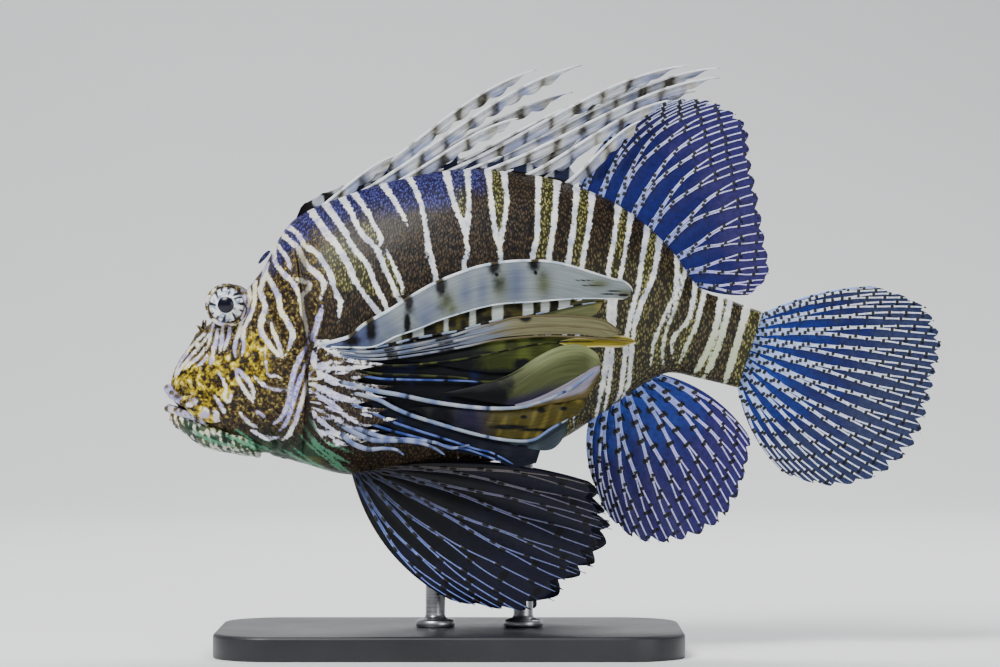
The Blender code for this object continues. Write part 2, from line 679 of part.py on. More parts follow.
def main():
    for obj in list(bpy.data.objects):
        bpy.data.objects.remove(obj)
    trunk_node, stalk_node, jaw_node = trunk(), tail_stalk(), jaw()
    head_node = head(jaw_node)
    for node in (head_node, trunk_node, stalk_node, jaw_node):
        finish(node, SKIN_COLOUR, 0.5)
    for side in (-1, 1):
        finish(eyeball(side), STRIPE_COLOUR, 0.15)
    finish(clear_of(spiny_dorsal(), trunk_node), STRIPE_COLOUR, 0.45)
    finish(clear_of(soft_dorsal(), trunk_node, stalk_node), FIN_COLOUR, 0.4)
    finish(clear_of(tail_fin(), stalk_node), FIN_COLOUR, 0.4)
    finish(clear_of(anal_fin(), trunk_node, stalk_node), FIN_COLOUR, 0.4)
    for side in (-1, 1):
        finish(clear_of(pelvic_fin(side), trunk_node), FIN_COLOUR, 0.4)
        finish(clear_of(pectoral_fin(side), trunk_node), STRIPE_COLOUR, 0.45)
    finish(stand_base(), (0.03, 0.03, 0.035), 0.4)
    for name, x in zip(("stand_rod_front", "stand_rod_rear"), ROD_PLACES):
        finish(stand_rod(name, x, trunk_node), (0.6, 0.6, 0.62), 0.3, 1.0)
    model = bpy.data.collections.new("red_lionfish")
    bpy.context.scene.collection.children.link(model)
    for obj in list(bpy.context.scene.collection.objects):
        bpy.context.scene.collection.objects.unlink(obj)
        model.objects.link(obj)


main()
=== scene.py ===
"""The looks of a life-size red lionfish model on its display stand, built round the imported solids.

The fish faces -X with its left side towards -Y, and +Z is up. Shapes are worked out in millimetres and are
turned to metres as a mesh is made.
"""

import itertools
import math

import bpy
import mathutils
import numpy as np
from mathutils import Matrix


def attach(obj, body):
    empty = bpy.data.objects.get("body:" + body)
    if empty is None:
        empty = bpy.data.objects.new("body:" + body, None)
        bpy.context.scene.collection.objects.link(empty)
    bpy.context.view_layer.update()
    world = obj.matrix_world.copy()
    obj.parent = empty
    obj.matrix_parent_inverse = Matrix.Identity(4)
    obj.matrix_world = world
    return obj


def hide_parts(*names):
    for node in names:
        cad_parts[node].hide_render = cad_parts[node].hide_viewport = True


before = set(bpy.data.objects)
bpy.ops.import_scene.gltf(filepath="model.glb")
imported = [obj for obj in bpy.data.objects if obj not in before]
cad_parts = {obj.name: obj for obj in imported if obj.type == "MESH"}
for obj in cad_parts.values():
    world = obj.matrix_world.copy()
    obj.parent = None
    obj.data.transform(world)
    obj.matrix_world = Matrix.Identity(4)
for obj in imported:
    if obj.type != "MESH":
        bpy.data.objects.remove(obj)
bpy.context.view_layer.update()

bl_info = {
    "name": "Red Lionfish",
    "version": (1, 0, 0),
    "blender": (4, 5, 0),
    "location": "View3D > Sidebar > Lionfish",
    "description": "Builds a life-size red lionfish model with its skin, fins, eyes and display stand",
    "category": "Add Mesh",
}

MM = 0.001
# The sign of y on each side of the fish.
SIDES = {-1: "left", 1: "right"}

# The body's stations from the snout to the end of the tail stalk, as in the solids.
BACK = [(-115, 108), (-113.5, 114), (-107.5, 124), (-100, 133), (-88.5, 142.5), (-77, 156.5), (-65, 176), (-45, 186),
        (-20.5, 193.5), (4, 197.5), (28.5, 196), (51, 191), (72, 181), (89.5, 166), (102.5, 149), (115, 144),
        (128.5, 139)]
BELLY = [(-114.5, 104.5), (-111, 99), (-103.5, 92), (-94, 86), (-84, 82.5), (-73, 80.5), (-60.5, 77), (-43, 72.5),
         (-20.5, 72), (3.5, 75), (25.5, 80), (45, 86.5), (63, 98), (78, 108.5), (89.5, 114), (103.5, 111.5),
         (118, 108)]
HALF_WIDTH = [2.5, 7.5, 13, 16.8, 19.8, 22.4, 24.6, 27, 28.5, 28, 25.8, 22, 17.4, 13.2, 10.2, 7.6, 5.4]
WIDEST = [0.5, 0.55, 0.6, 0.62, 0.61, 0.58, 0.56, 0.55, 0.53, 0.52, 0.5, 0.5, 0.5, 0.5, 0.5, 0.5, 0.5]
BACK_SHARPNESS = [0.8, 0.8, 0.85, 0.9, 1, 1.15, 1.25, 1.25, 1.2, 1.15, 1.15, 1.1, 1.1, 1, 0.9, 0.85, 0.8]
BELLY_SHARPNESS = [0.8, 0.8, 0.8, 0.8, 0.8, 0.85, 0.9, 0.95, 1, 1, 1, 1, 1, 0.95, 0.9, 0.85, 0.8]
# The gill cover's edge and the tail stalk's end as stations, and the edge's bow in stations and its height and
# depth in mm.
GILL, TAIL_END = 6.0, 16.0
GILL_BOW, GILL_LIFT, GILL_SINK = 0.27, 1.4, 1.0
# How far the spine bends sideways at the snout and at the tail, and the places between which it does.
SWAY_HEAD, SWAY_TAIL = 5.0, 13.0
SNOUT_X, NAPE_X, LOIN_X, TAIL_X = -115.0, -20.0, 20.0, 203.0
# The right eyeball's centre, and its orbit: the sphere's centre, the place in the head that skin is pushed out
# from, the sphere's radius and the blend's width. The left ones have the other sign of y.
EYE = np.array((-90.6, 13.0, 141.8))
ORBIT = np.array((-90.2, 11.5, 141.4))
ORBIT_CORE = np.array((-89.6, 6.5, 137.0))
ORBIT_RADIUS, ORBIT_BLEND = 8.8, 2.0
# The lid: its ring's radius, how far out it lies, and its own radius. The cornea rises by this much.
LID_RING, LID_OUT, LID_RADIUS, CORNEA_RISE = 7.9, 15.7, 0.95, 0.5
# The dorsal spines' bars, by their pitch in mm and half width as a share of it, and the size of the skin's knobs.
BAR_PITCH, BAR_SHARE, KNOB_MM = 12.0, 0.17, 2.0
# How far a ray's halves, and each half's branches, stand from their middle before they part.
PAIR_MM, BRANCH_MM = 0.62, 0.28

# Lines of the skin in side view: each one's half width and its places, in mm, and the share of a line's length over
# which its ends taper.
TAPER = 0.22
WHITE_LINES = [
    (0.7, [(-102.4, 128.1), (-105.6, 124.9), (-109.1, 120.4), (-111.7, 115.9), (-112.7, 112.1)]),
    (0.7, [(-100, 127.5), (-103.3, 123.6), (-107.2, 119.5), (-110.4, 115.6), (-111.7, 113.3)]),
    (0.65, [(-98.7, 125.6), (-101.4, 121.7), (-105.3, 118.4), (-108.5, 115.8)]),
    (0.6, [(-98.3, 122.3), (-100.1, 119.1), (-102.7, 117.1)]),
    (0.6, [(-96.6, 134.2), (-97.5, 130.1), (-98.1, 126.8), (-99, 123)]),
    (0.85, [(-94.8, 132), (-95.2, 127.5), (-96.1, 123.6), (-96.6, 119.8), (-97.4, 117.7)]),
    (0.75, [(-92.4, 133.6), (-92.7, 128.8), (-93, 125.6), (-93.4, 122.3)]),
    (0.75, [(-89.7, 133.9), (-89.7, 130.1), (-90.5, 126.8), (-91.8, 123.3)]),
    (0.8, [(-82.1, 147.4), (-81.5, 143.6), (-82.8, 139.1), (-84.7, 134.6), (-85.6, 130.7), (-86.9, 126.8),
     (-87.3, 123.6), (-86.9, 120.7)]),
    (0.9, [(-79.5, 148.1), (-79.5, 142.9), (-81.3, 137.1), (-83.4, 132.6), (-83.7, 128.8), (-83.3, 125.6),
     (-84.2, 121.4)]),
    (1.1, [(-75.4, 155.5), (-76.3, 151.3), (-77, 147.4), (-75.7, 143.6), (-74.7, 139.7), (-76.3, 135.2),
     (-76.3, 131.4), (-74.9, 128.5), (-72.1, 124.9), (-69.2, 121.7), (-66.5, 120.1)]),
    (1.1, [(-75.4, 155.5), (-73.1, 151.9), (-71, 148.1), (-69.2, 144.9), (-68.7, 140.4), (-66.5, 136.5),
     (-64.1, 132.6), (-63.1, 129.4), (-64.4, 125.6), (-65.9, 121.1)]),
    (0.9, [(-72.1, 134.6), (-71.5, 131.4), (-69.9, 128.1), (-68.5, 124.9), (-67, 120.7)]),
    (0.7, [(-93.7, 114.6), (-91.8, 110.8), (-90.5, 107.6), (-91.4, 105), (-90, 102.5), (-88.5, 104.3),
     (-88.5, 106.8)]),
    (0.8, [(-86.7, 115.9), (-85.6, 111.4), (-83.4, 108.2), (-81.3, 105), (-79.4, 102.3)]),
    (0.8, [(-86.6, 115.9), (-83.9, 114), (-81.3, 110.8), (-79.5, 107.6), (-79.2, 103.7)]),
    (0.7, [(-95.6, 105), (-93.7, 102.4), (-92.3, 99.8), (-91.4, 97.9)]),
    (0.8, [(-85.3, 98.5), (-83.4, 96), (-80.8, 93.5), (-78.3, 92.4)]),
    (0.5, [(-74.4, 124.9), (-74.1, 119.8), (-73.7, 115.9), (-72.8, 113.3), (-69.2, 112.7), (-67.2, 111.4)]),
    (0.6, [(-78.9, 113.3), (-77, 110.8), (-73.4, 108.5), (-69.2, 107.4), (-64.6, 107.9)]),
    (0.7, [(-78.6, 98.9), (-76.3, 97.6), (-74.9, 96.3)]),
    (0.8, [(-80.3, 90.8), (-77, 88.9), (-73.1, 87.6), (-69.2, 88.1)]),
    (1.2, [(-51.1, 141), (-52.4, 136.5), (-53.8, 132), (-55.6, 127.5)]),
    (1.1, [(-56.4, 126.8), (-59.1, 122.3), (-61.5, 117.2), (-63.3, 112.1), (-64.1, 108.2), (-64.6, 104.3),
     (-66, 99.8), (-68.3, 95.7), (-71.2, 93.7)]),
    (0.9, [(-56.9, 119.8), (-59, 114.6), (-60.9, 109.5), (-62.5, 104.3), (-64, 99.2), (-66, 94), (-69.2, 90.8)]),
    (0.9, [(-57.3, 111.4), (-58.3, 106.9), (-59.6, 102.4), (-61.2, 97.9), (-62.8, 93.4), (-65.4, 88.9),
     (-69.2, 86.3)]),
    (1, [(-54.7, 126.1), (-51.5, 126.5), (-47.8, 124.2), (-44.1, 121.9), (-41.3, 120.5)]),
    (1.2, [(-55.4, 122.4), (-54.5, 119.1), (-53.8, 115.9)]),
    (1, [(-52.8, 116.8), (-47.8, 116.4), (-41.3, 116.1), (-35.8, 116.8), (-31.2, 116.4)]),
    (1.15, [(-53.3, 115.5), (-49.2, 112.7), (-44.5, 110.9), (-39, 109.5), (-34, 108.5), (-30.3, 107.6)]),
    (0.45, [(-35.8, 113.2), (-32.1, 110.9), (-28.4, 108.5)]),
    (1.2, [(-57, 110.4), (-52.4, 109), (-47.8, 106.7), (-43.2, 104.4), (-37.6, 103), (-32.1, 102.1)]),
    (0.65, [(-55.6, 107.2), (-51.5, 105.3), (-47.8, 103), (-44.5, 100.3), (-41.3, 97.5), (-37.6, 95.2), (-34, 93.3)]),
    (0.4, [(-37.6, 101.6), (-33, 99.3), (-28.4, 98), (-25.7, 96.1)]),
    (0.6, [(-56.1, 98.9), (-53.8, 97.5), (-50.5, 95.2), (-47.8, 92.9), (-44.1, 90.6)]),
    (1, [(-55.1, 94.7), (-53.3, 92), (-50.5, 90.6), (-46.9, 90.6), (-43.2, 89.7), (-39, 88.7), (-34.9, 88.3)]),
    (0.4, [(-39.9, 92.9), (-35.8, 92), (-32.1, 90.6)]),
    (0.5, [(-31.2, 92.4), (-27.5, 92), (-23.4, 91), (-19.7, 89.7)]),
    (0.5, [(-45.9, 87.8), (-44.1, 86), (-44.5, 84.6)]),
    (0.35, [(-41.3, 120.1), (-36.7, 119.1), (-32.1, 119.8), (-26.6, 120.5)]),
    (0.3, [(-41.3, 119.1), (-35.8, 118.2), (-30.3, 118.2), (-25.7, 118.2)]),
    (0.35, [(-45.9, 96.1), (-43.2, 94.7), (-39.9, 93.8)]),
    (1, [(-71.9, 164.7), (-71.4, 160.1), (-68.5, 155.7), (-64.1, 151.4), (-61.2, 147.4), (-59.8, 142.8),
     (-59.1, 138.5), (-57.8, 134.1), (-57.3, 128.6)]),
    (0.8, [(-69.1, 164.7), (-66, 160.7), (-64.3, 155.7)]),
    (0.9, [(-63.2, 152.7), (-59.2, 151.4), (-56, 149.6), (-59.2, 146.2), (-60.6, 146.8)]),
    (1.1, [(-66.3, 169), (-61.7, 165), (-59.2, 160.1), (-56.6, 156.4), (-53, 153.9), (-50.6, 150.2), (-51.2, 147.1),
     (-52.7, 143.4)]),
    (1.1, [(-64.4, 172.7), (-61.1, 170), (-59.2, 166.2), (-54.3, 163.2), (-51.2, 159.5), (-48.1, 154.5),
     (-46.8, 150.2), (-45.6, 146.5), (-43.6, 142.8), (-44.3, 138.5), (-45.1, 134.1)]),
    (1.5, [(-55.5, 178.6), (-52.4, 174.3), (-49.3, 170), (-45.6, 166.2), (-43.1, 161.9), (-40.1, 157), (-38.2, 151.4),
     (-34.5, 146.5), (-30.7, 141.5), (-26.5, 135.4), (-19.1, 115.6), (-16, 90.9)]),
    (1.4, [(-49.9, 181.7), (-45.6, 176.1), (-41.9, 170.6), (-39.4, 165.6), (-35.1, 160.7), (-32, 155.7),
     (-30.2, 150.8), (-27.7, 145.9), (-24.6, 139.7), (-17.2, 118.7), (-12.3, 90.9)]),
    (1.4, [(-43.3, 184.5), (-39.4, 178.6), (-37, 173), (-33.3, 168.1), (-29.6, 165), (-27.7, 160.7), (-25.9, 155.7),
     (-23.4, 151.4), (-21.5, 146.5), (-16, 134.1), (-8.6, 109.4), (-6.1, 90.9)]),
    (1.4, [(-38.2, 186.3), (-33.9, 180.5), (-30.8, 174.9), (-27.6, 168.7), (-28.3, 165.3)]),
    (1.2, [(-26.2, 165.6), (-23.4, 159.5), (-20.9, 154.5), (-19.1, 149.6), (-18.7, 145.3)]),
    (1.4, [(-26.5, 190), (-22.1, 183.5), (-19.1, 178.6), (-16.5, 173.3)]),
    (1.4, [(-16.2, 193.3), (-11.4, 182.4), (-9, 169.5), (-6.9, 159), (-5.3, 151.8), (-0.9, 127.6), (2.3, 99.3),
     (3.6, 78.3)]),
    (0.7, [(-9, 168.7), (-9.4, 163.1), (-7.3, 157.4)]),
    (1.5, [(-1.3, 194.9), (2.3, 181.6), (6, 173.1), (6.4, 169.5)]),
    (1.4, [(7.2, 195.3), (8, 183.6), (7.2, 172.3), (6.8, 167.9), (7.6, 163.1), (6, 156.6), (9.2, 131.6),
     (11.6, 103.3), (12.4, 79.1)]),
    (1.4, [(15.7, 195.7), (17.3, 181.6), (18.9, 169.5), (20.5, 164.7)]),
    (1.4, [(22.1, 195.7), (23.3, 183.6), (21.7, 172.3), (20.5, 165.1), (20.9, 160.2), (23.7, 131.6), (25.3, 103.3),
     (25.3, 80.8)]),
    (1.5, [(36.2, 193.7), (35.8, 180), (35.4, 167.9), (33.8, 160.2), (34.6, 131.6), (35, 103.3), (34.2, 83.2)]),
    (1.5, [(43.9, 193.3), (42.7, 178.8), (41.1, 165.9), (40.3, 160.2), (39.9, 131.6), (39.9, 103.3), (39.1, 84.8)]),
    (1.5, [(52, 190.9), (50.4, 174.4), (48.3, 159.4), (46.7, 131.6), (45.5, 105.4), (44.7, 88.8)]),
    (1.4, [(58.4, 188.5), (56.4, 172.3), (53.6, 157.4), (52, 131.6), (51.2, 105.4), (50.4, 91.2)]),
    (1.4, [(68.9, 182.8), (66.9, 168.7), (64.5, 155.8), (64.9, 143.7), (64.1, 123.5), (60.8, 101.7), (59.2, 93.7)]),
    (1.3, [(74.2, 179.6), (71.7, 165.1), (69.3, 153), (66.9, 140.9), (66.1, 123.5), (64.1, 103.3), (62.1, 95.3)]),
    (1.4, [(81, 174.4), (78.2, 159.4), (76.6, 148.1), (72.9, 135.2), (71.3, 121.5), (69.7, 106.6), (65.7, 99.3)]),
    (1.4, [(85.9, 169.5), (83, 153.8), (78.2, 142.9), (75, 132.4), (73.8, 121.5), (72.9, 109.4), (69.7, 102.5)]),
    (1.2, [(93.1, 161.4), (91.9, 147.3), (87.5, 137.2), (83, 125.9), (81.8, 115.4)]),
    (1.1, [(96.3, 155.8), (92.7, 142.9), (88.7, 132.4), (86.7, 123.5), (87.5, 116.3)]),
    (1.2, [(100.4, 150.1), (98, 137.2), (93.9, 131.6), (90.7, 126.7), (91.5, 116.3)]),
    (1.1, [(104.4, 147.7), (100.4, 133.6), (95.9, 123.5), (93.1, 116.3)]),
    (1.3, [(111.3, 145.3), (108.4, 131.6), (104.4, 121.5), (99.6, 113)]),
    (1.2, [(114.9, 143.7), (111.7, 130.8), (107.6, 119.5), (103.6, 111.4)]),
    (1.5, [(122.2, 142.1), (118.1, 128), (112.5, 109)]),
    (1.2, [(128.6, 139.7), (126.2, 125.5), (121.4, 108.2)]),
]
# The groove at the gill cover's edge, bands of skin between the lines, the level above which the back is blue, lines
# of the throat, and the cheek's yellow patches and ridge.
GILL_LINE = [(-51.1, 142), (-53.8, 132), (-56.6, 126), (-60, 117), (-62.8, 106), (-66, 96), (-70, 89)]
OLIVE_BANDS = [
    (3.4, [(3.2, 194.5), (5.2, 178.4)]),
    (3, [(18.9, 195.3), (20.1, 171.1)]),
    (3.2, [(39.9, 192.1), (37.8, 160.2), (37.4, 87.2)]),
    (2.4, [(55.2, 188.9), (51.2, 158.2), (48.7, 91.2)]),
    (2.4, [(71.3, 180), (66.9, 154.2), (63.3, 99.3)]),
    (2, [(83.4, 170.3), (77.4, 143.7), (72.1, 107.4)]),
    (1.8, [(94.7, 156.6), (88.3, 133.6), (84.2, 117.1)]),
    (1.8, [(102.4, 147.7), (97.2, 129.6), (92.7, 117.1)]),
    (1.8, [(113.3, 143.7), (108, 125.5), (101.6, 112.2)]),
    (2, [(125.4, 139.7), (122.2, 125.5), (117.3, 109)]),
    (2.4, [(-51.2, 171.2), (-46.8, 165), (-41.9, 157.6), (-38.8, 149.6)]),
    (2.2, [(-43.1, 168.7), (-38.2, 161.3), (-33.3, 152.7), (-30.8, 146.5)]),
    (2.2, [(-34.5, 173.7), (-29.6, 167.5)]),
    (2.4, [(-57.3, 171.2), (-53, 165), (-46.8, 157.6), (-41.9, 149)]),
    (2, [(-25.9, 160.1), (-22.1, 151.4), (-20.3, 145.3)]),
]
BLUE_LEVEL = ((-70, -56, -32, -18, -7, 11), (158, 171, 178, 180, 181.6, 186.5))
GREEN_LINES = [
    (0.75, [(-57.7, 89.5), (-53.2, 83.8), (-48, 79.2), (-41.3, 73.8)]),
    (0.65, [(-64.1, 84.4), (-59, 79.9), (-53.2, 76), (-48.7, 74.1)]),
    (0.7, [(-59.6, 94), (-55.7, 87.6), (-51.2, 83.8), (-46.1, 80.5), (-40.6, 77.6)]),
    (0.6, [(-57.2, 97), (-53, 90.5), (-48.5, 86.5), (-43.5, 83.5), (-38.5, 81.5)]),
    (0.45, [(-61.5, 91), (-58.5, 86.5), (-54.5, 82.5), (-49.5, 78.5), (-44, 74)]),
    (0.6, [(-68, 83.1), (-62.8, 79.9), (-57.7, 76.7), (-53.8, 74.6)]),
    (0.8, [(-90.5, 88.9), (-84.7, 86.3), (-79.5, 83.8), (-75.7, 81.8)]),
    (0.7, [(-87.3, 91.5), (-82.8, 88.3), (-78.9, 85), (-73.1, 82.5)]),
    (0.8, [(-104.6, 90.8), (-99.5, 87.6), (-93.7, 85.7), (-87.3, 84.4)]),
]
CHEEK_SPOTS = [(-86, 117, 14, 6), (-78, 124, 6, 8), (-103, 111, 11, 8)]
CHEEK_RIDGE = [(-108, 110.5), (-100, 113), (-91, 116), (-82, 119), (-74, 120), (-68, 119)]

# Fins in side view, as in the solids.
SOFT_DORSAL_BASE = [(53, 190), (64, 185.5), (76, 178), (88, 167.5), (96, 157), (103.5, 148.5)]
SOFT_DORSAL_MARGIN = [(89, 226), (101.5, 227), (112, 224.5), (122.5, 216), (124, 203), (127, 188), (130, 170),
                      (131.5, 155), (124, 146.5)]
TAIL_BASE = [(128.5, 138), (126, 130.5), (123.3, 123), (120.8, 115.5), (118.3, 108.5)]
TAIL_MARGIN = [(177, 149.5), (196, 142), (203.5, 128), (201.5, 114), (199, 100), (193, 84), (178, 71.5), (157, 67),
               (138, 72)]
ANAL_BASE = [(57.5, 94.5), (65, 99.5), (73, 105), (80.5, 110), (87, 113.5)]
ANAL_MARGIN = [(59.5, 69), (65, 55.5), (77, 45), (92, 44), (106.5, 48.5), (117, 59), (122, 74), (124, 86)]
PELVIC_BASE = [(-40, 6, 74.5), (-34.5, 7.5, 74.8), (-28.5, 9, 75.6)]
PELVIC_MARGIN = [(3.5, 15, 21), (20, 18, 18.4), (35, 21, 18.6), (49, 23, 30), (58, 24, 38), (63.5, 23, 50),
                 (61, 22, 59), (57, 21, 70)]
# How the right pelvic fin's margin differs from the left one's.
FAR_PELVIC_SHIFT = (4.5, 2.0, -2.6)
# How deep fins and spines start under the skin, in mm.
ROOT_DEPTH = 2.5
# How deep the margin is notched between rays, the pleats' height in mm, how far a ray's second half shifts its
# spots as a share of their pitch, and the membrane's rows.
NOTCH, PLEAT, SPOT_SHIFT, FIN_ROWS = 0.045, 0.3, 0.45, 54

# The dorsal spines: each tip's x, z and y, the first and last spine's stations on the back, and the vanes' full
# width and thickness in mm.
SPINE_TIPS = [(-21, 203.5, -2), (35.5, 238.5, 1), (54, 240, -3), (50.5, 229.5, 4), (28, 218, -6), (82, 232.5, 3),
              (97, 240, -2), (111, 239.5, 2), (110.5, 235, -5), (101, 230, 6), (90, 225.5, -7), (71, 226, 5),
              (78, 217, -9)]
FIRST_SPINE, LAST_SPINE, SPINE_VANE, VANE_MM = 6.12, 10.75, 4.2, 0.36

# The pectoral fin's upper edge in side view, behind its root.
TOP_EDGE = [(-41.4, 128.4), (-38.4, 130.1), (-33.6, 134.1), (-23.7, 139.6), (-14.8, 145.2), (-5.9, 150.2), (3, 153.9),
            (11.9, 156.9), (20.9, 158.6), (29.8, 159.3), (38.7, 159.1), (47.6, 157.5), (56.5, 154.8), (65.5, 152.1),
            (69.9, 151.1), (73, 148.8)]
# Leaves of the pectoral fin's skin, all in mm: how far each lies out of the fin's middle surface, how much it
# bulges, and its upper and lower edges in side view.
PECTORAL_LEAVES = {
    "web": (-1.6, 0,
        [(-50, 124), (-33, 122), (-20, 123), (-2, 126), (8, 128), (19, 130), (31, 130), (43, 127), (50, 122)],
        [(-47, 88), (-38, 87), (-24, 90), (-10, 92), (3, 91), (12, 89), (21, 87.6), (34, 90), (47, 97)]),
    "lower": (-1.2, 0.4,
        [(-30.7, 105.2), (-19.5, 100), (-3.5, 94.8), (8.5, 91.6), (20.5, 88.8), (30.1, 87.6), (38.5, 90)],
        [(-30.7, 94), (-19.5, 88.8), (-3.5, 84.8), (8.5, 82), (17.3, 80.4), (25.7, 77.2), (34.9, 78.8)]),
    "top": (2, 1.6,
        [(-50.6, 125.6), *TOP_EDGE],
        [(-49.8, 124.4), (-40.2, 125), (-35.4, 124.6), (-30, 125), (-21.1, 129), (-12.1, 132.1), (-5.9, 134.6),
         (-0.6, 136.6), (8.4, 139.4), (17.3, 141.5), (26.2, 142.5), (35.1, 143), (44, 143.5), (52.1, 144.2),
         (60.1, 144.6), (69.9, 144), (72.8, 146)]),
    "squares": (0.5, 0,
        [(-25.5, 127.6), (-15.5, 132), (-5.9, 135.6), (4.5, 139.2), (17.3, 142.4), (32.5, 143.8), (48.5, 144.8)],
        [(-25.5, 126), (-15.5, 128.2), (-5.9, 129.8), (4.5, 131.6), (17.3, 135.2), (32.5, 137.6), (48.5, 141.2)]),
    "flap": (0.1, 0.3,
        [(34.5, 138.4), (45.7, 141.6), (55.7, 143.8), (61.7, 143.4)],
        [(34.5, 136.4), (45.7, 136.2), (55.7, 136.4), (60.5, 139.6)]),
    "grey": (1.1, 0.9,
        [(-47.4, 124.8), (-33.4, 123.6), (-20.3, 125.6), (-2.3, 129.2), (8.4, 132.3), (19.1, 135), (26.2, 136.8),
         (38.7, 137.7), (52.1, 137.2), (61, 135.9), (65.5, 133.7), (68.1, 131.2)],
        [(-47.4, 122.8), (-33.4, 120.8), (-20.3, 121.6), (-2.3, 124.2), (8.5, 126), (19.3, 128.4), (26.5, 129.2),
         (38.7, 129.8), (52.1, 129.8), (60.5, 128.7), (64.5, 128.8), (68.1, 130.1)]),
    "gold": (0, 0.3,
        [(44, 127), (50.5, 128.4), (58.3, 128.3), (65.5, 129.5), (71.7, 128.8), (74.6, 127.3)],
        [(44, 126.4), (50.5, 124.6), (59.2, 124.8), (65.5, 124.6), (69.9, 124.9), (74.4, 126.6)]),
    "olive": (-0.5, 0.6,
        [(-20, 120.4), (-6.7, 122.8), (8.4, 126), (19.1, 128.4), (31.6, 129.2), (43.2, 129.2), (52.1, 129),
         (58.1, 127.8)],
        [(-20, 119.6), (-6.7, 118), (8.4, 115.6), (19.1, 114.4), (31.6, 115.2), (43.2, 118.8), (52.1, 122.8),
         (58.9, 125.2)]),
    "lobe": (0.2, 1.2,
        [(-2, 106.6), (8.5, 108.8), (18.2, 111.6), (26.2, 114.9), (34.2, 120.2), (43.2, 124.7), (52.1, 125.8),
         (58.3, 122.9), (60.1, 120)],
        [(-2, 106), (8.5, 104.2), (18.2, 102.4), (26.2, 101.6), (34.2, 102.8), (43.2, 106), (52.1, 110.8),
         (58.3, 115.6), (60.5, 118.8)]),
    "pleats": (0.8, 0,
        [(26.5, 102), (34.1, 104.2), (42.9, 108.2), (50.9, 112.6), (56.5, 116), (60.1, 117.6)],
        [(26.5, 100), (34.1, 101), (42.9, 102.6), (50.9, 104), (55.7, 105.8), (60.5, 114.4)]),
    "ruffle": (-0.3, 0.8,
        [(-16, 100.2), (-3.5, 101.4), (8.4, 101.2), (20.9, 99.7), (34.2, 101.5), (47.6, 105.1), (52.6, 105.2),
         (54.4, 102.4)],
        [(-16, 99.2), (-3.5, 94), (8.4, 91.2), (20.9, 88.8), (34.2, 88.4), (44.5, 94.8), (50.2, 97.4), (54, 101.2)]),
    "wedge": (-0.9, 0.2,
        [(20.5, 88.8), (29.8, 88), (38.7, 91.7), (46.9, 96.6)],
        [(20.5, 87.6), (30.1, 84.8), (39.3, 83.8), (44, 86.5), (47.2, 92)]),
}
# Each leaf's finish: its light, warm, cool and dark colours.
LEAF_COLOURS = {
    # The web and the lower leaf are near black: partly the membranes' deep blue, partly painted shadow.
    "web": ("#04060c", "#080a0f", "#0a1540", "#010204"),
    "lower": ("#070b18", "#12161f", "#142552", "#020305"),
    "top": ("#788083", "#4d5238", "#38426a", "#07060a"),
    "squares": ("#9aa19c", "#3d3a16", "#66748c", "#0b0a05"),
    "flap": ("#56593a", "#78703c", "#445244", "#16160a"),
    "grey": ("#636a78", "#67644a", "#262e48", "#050609"),
    "gold": ("#7c7020", "#b8ae74", "#4c5226", "#262008"),
    "olive": ("#262c0d", "#424a1a", "#141809", "#030509"),
    # The lobe's warm colour is its painted highlight.
    "lobe": ("#42472a", "#747c55", "#1e1a30", "#020306"),
    "pleats": ("#7c7888", "#4c4324", "#504c72", "#1c1820"),
    "ruffle": ("#3c3611", "#5a5020", "#1a182c", "#030408"),
    "wedge": ("#2b343b", "#566368", "#212e46", "#0c1014"),
}
# The same for the rays.
RAY_COLOURS = {
    "white": ("#dfe3e8", "#c6c2ac", "#aebfd0", "#3e3728"),
    "banded": ("#a7adb2", "#827f60", "#6f7e98", "#0d0c08"),
    "grey": ("#8d929a", "#5c533c", "#566078", "#1b1916"),
    "olive": ("#353b18", "#5a6124", "#1c200f", "#060704"),
    "blue": ("#52659c", "#737e96", "#243672", "#050818"),
    "bright": ("#8a94a2", "#b6b9ba", "#5d6f98", "#10162a"),
    "pale": ("#838eac", "#a8adb8", "#56638f", "#161b38"),
}
# Dark squares on the leaf of that name, by the middle and half width in x, and spots on the upper edge's ray.
SQUARES = [(-16.7, 2.2), (-5.9, 4.0), (4.1, 4.2), (14.1, 3.2), (25.7, 3.9), (35.3, 1.5), (42.1, 1.8)]
EDGE_SPOTS = (-38.5, -31.5, -16.5, -3.5, 18.5, 34.5)
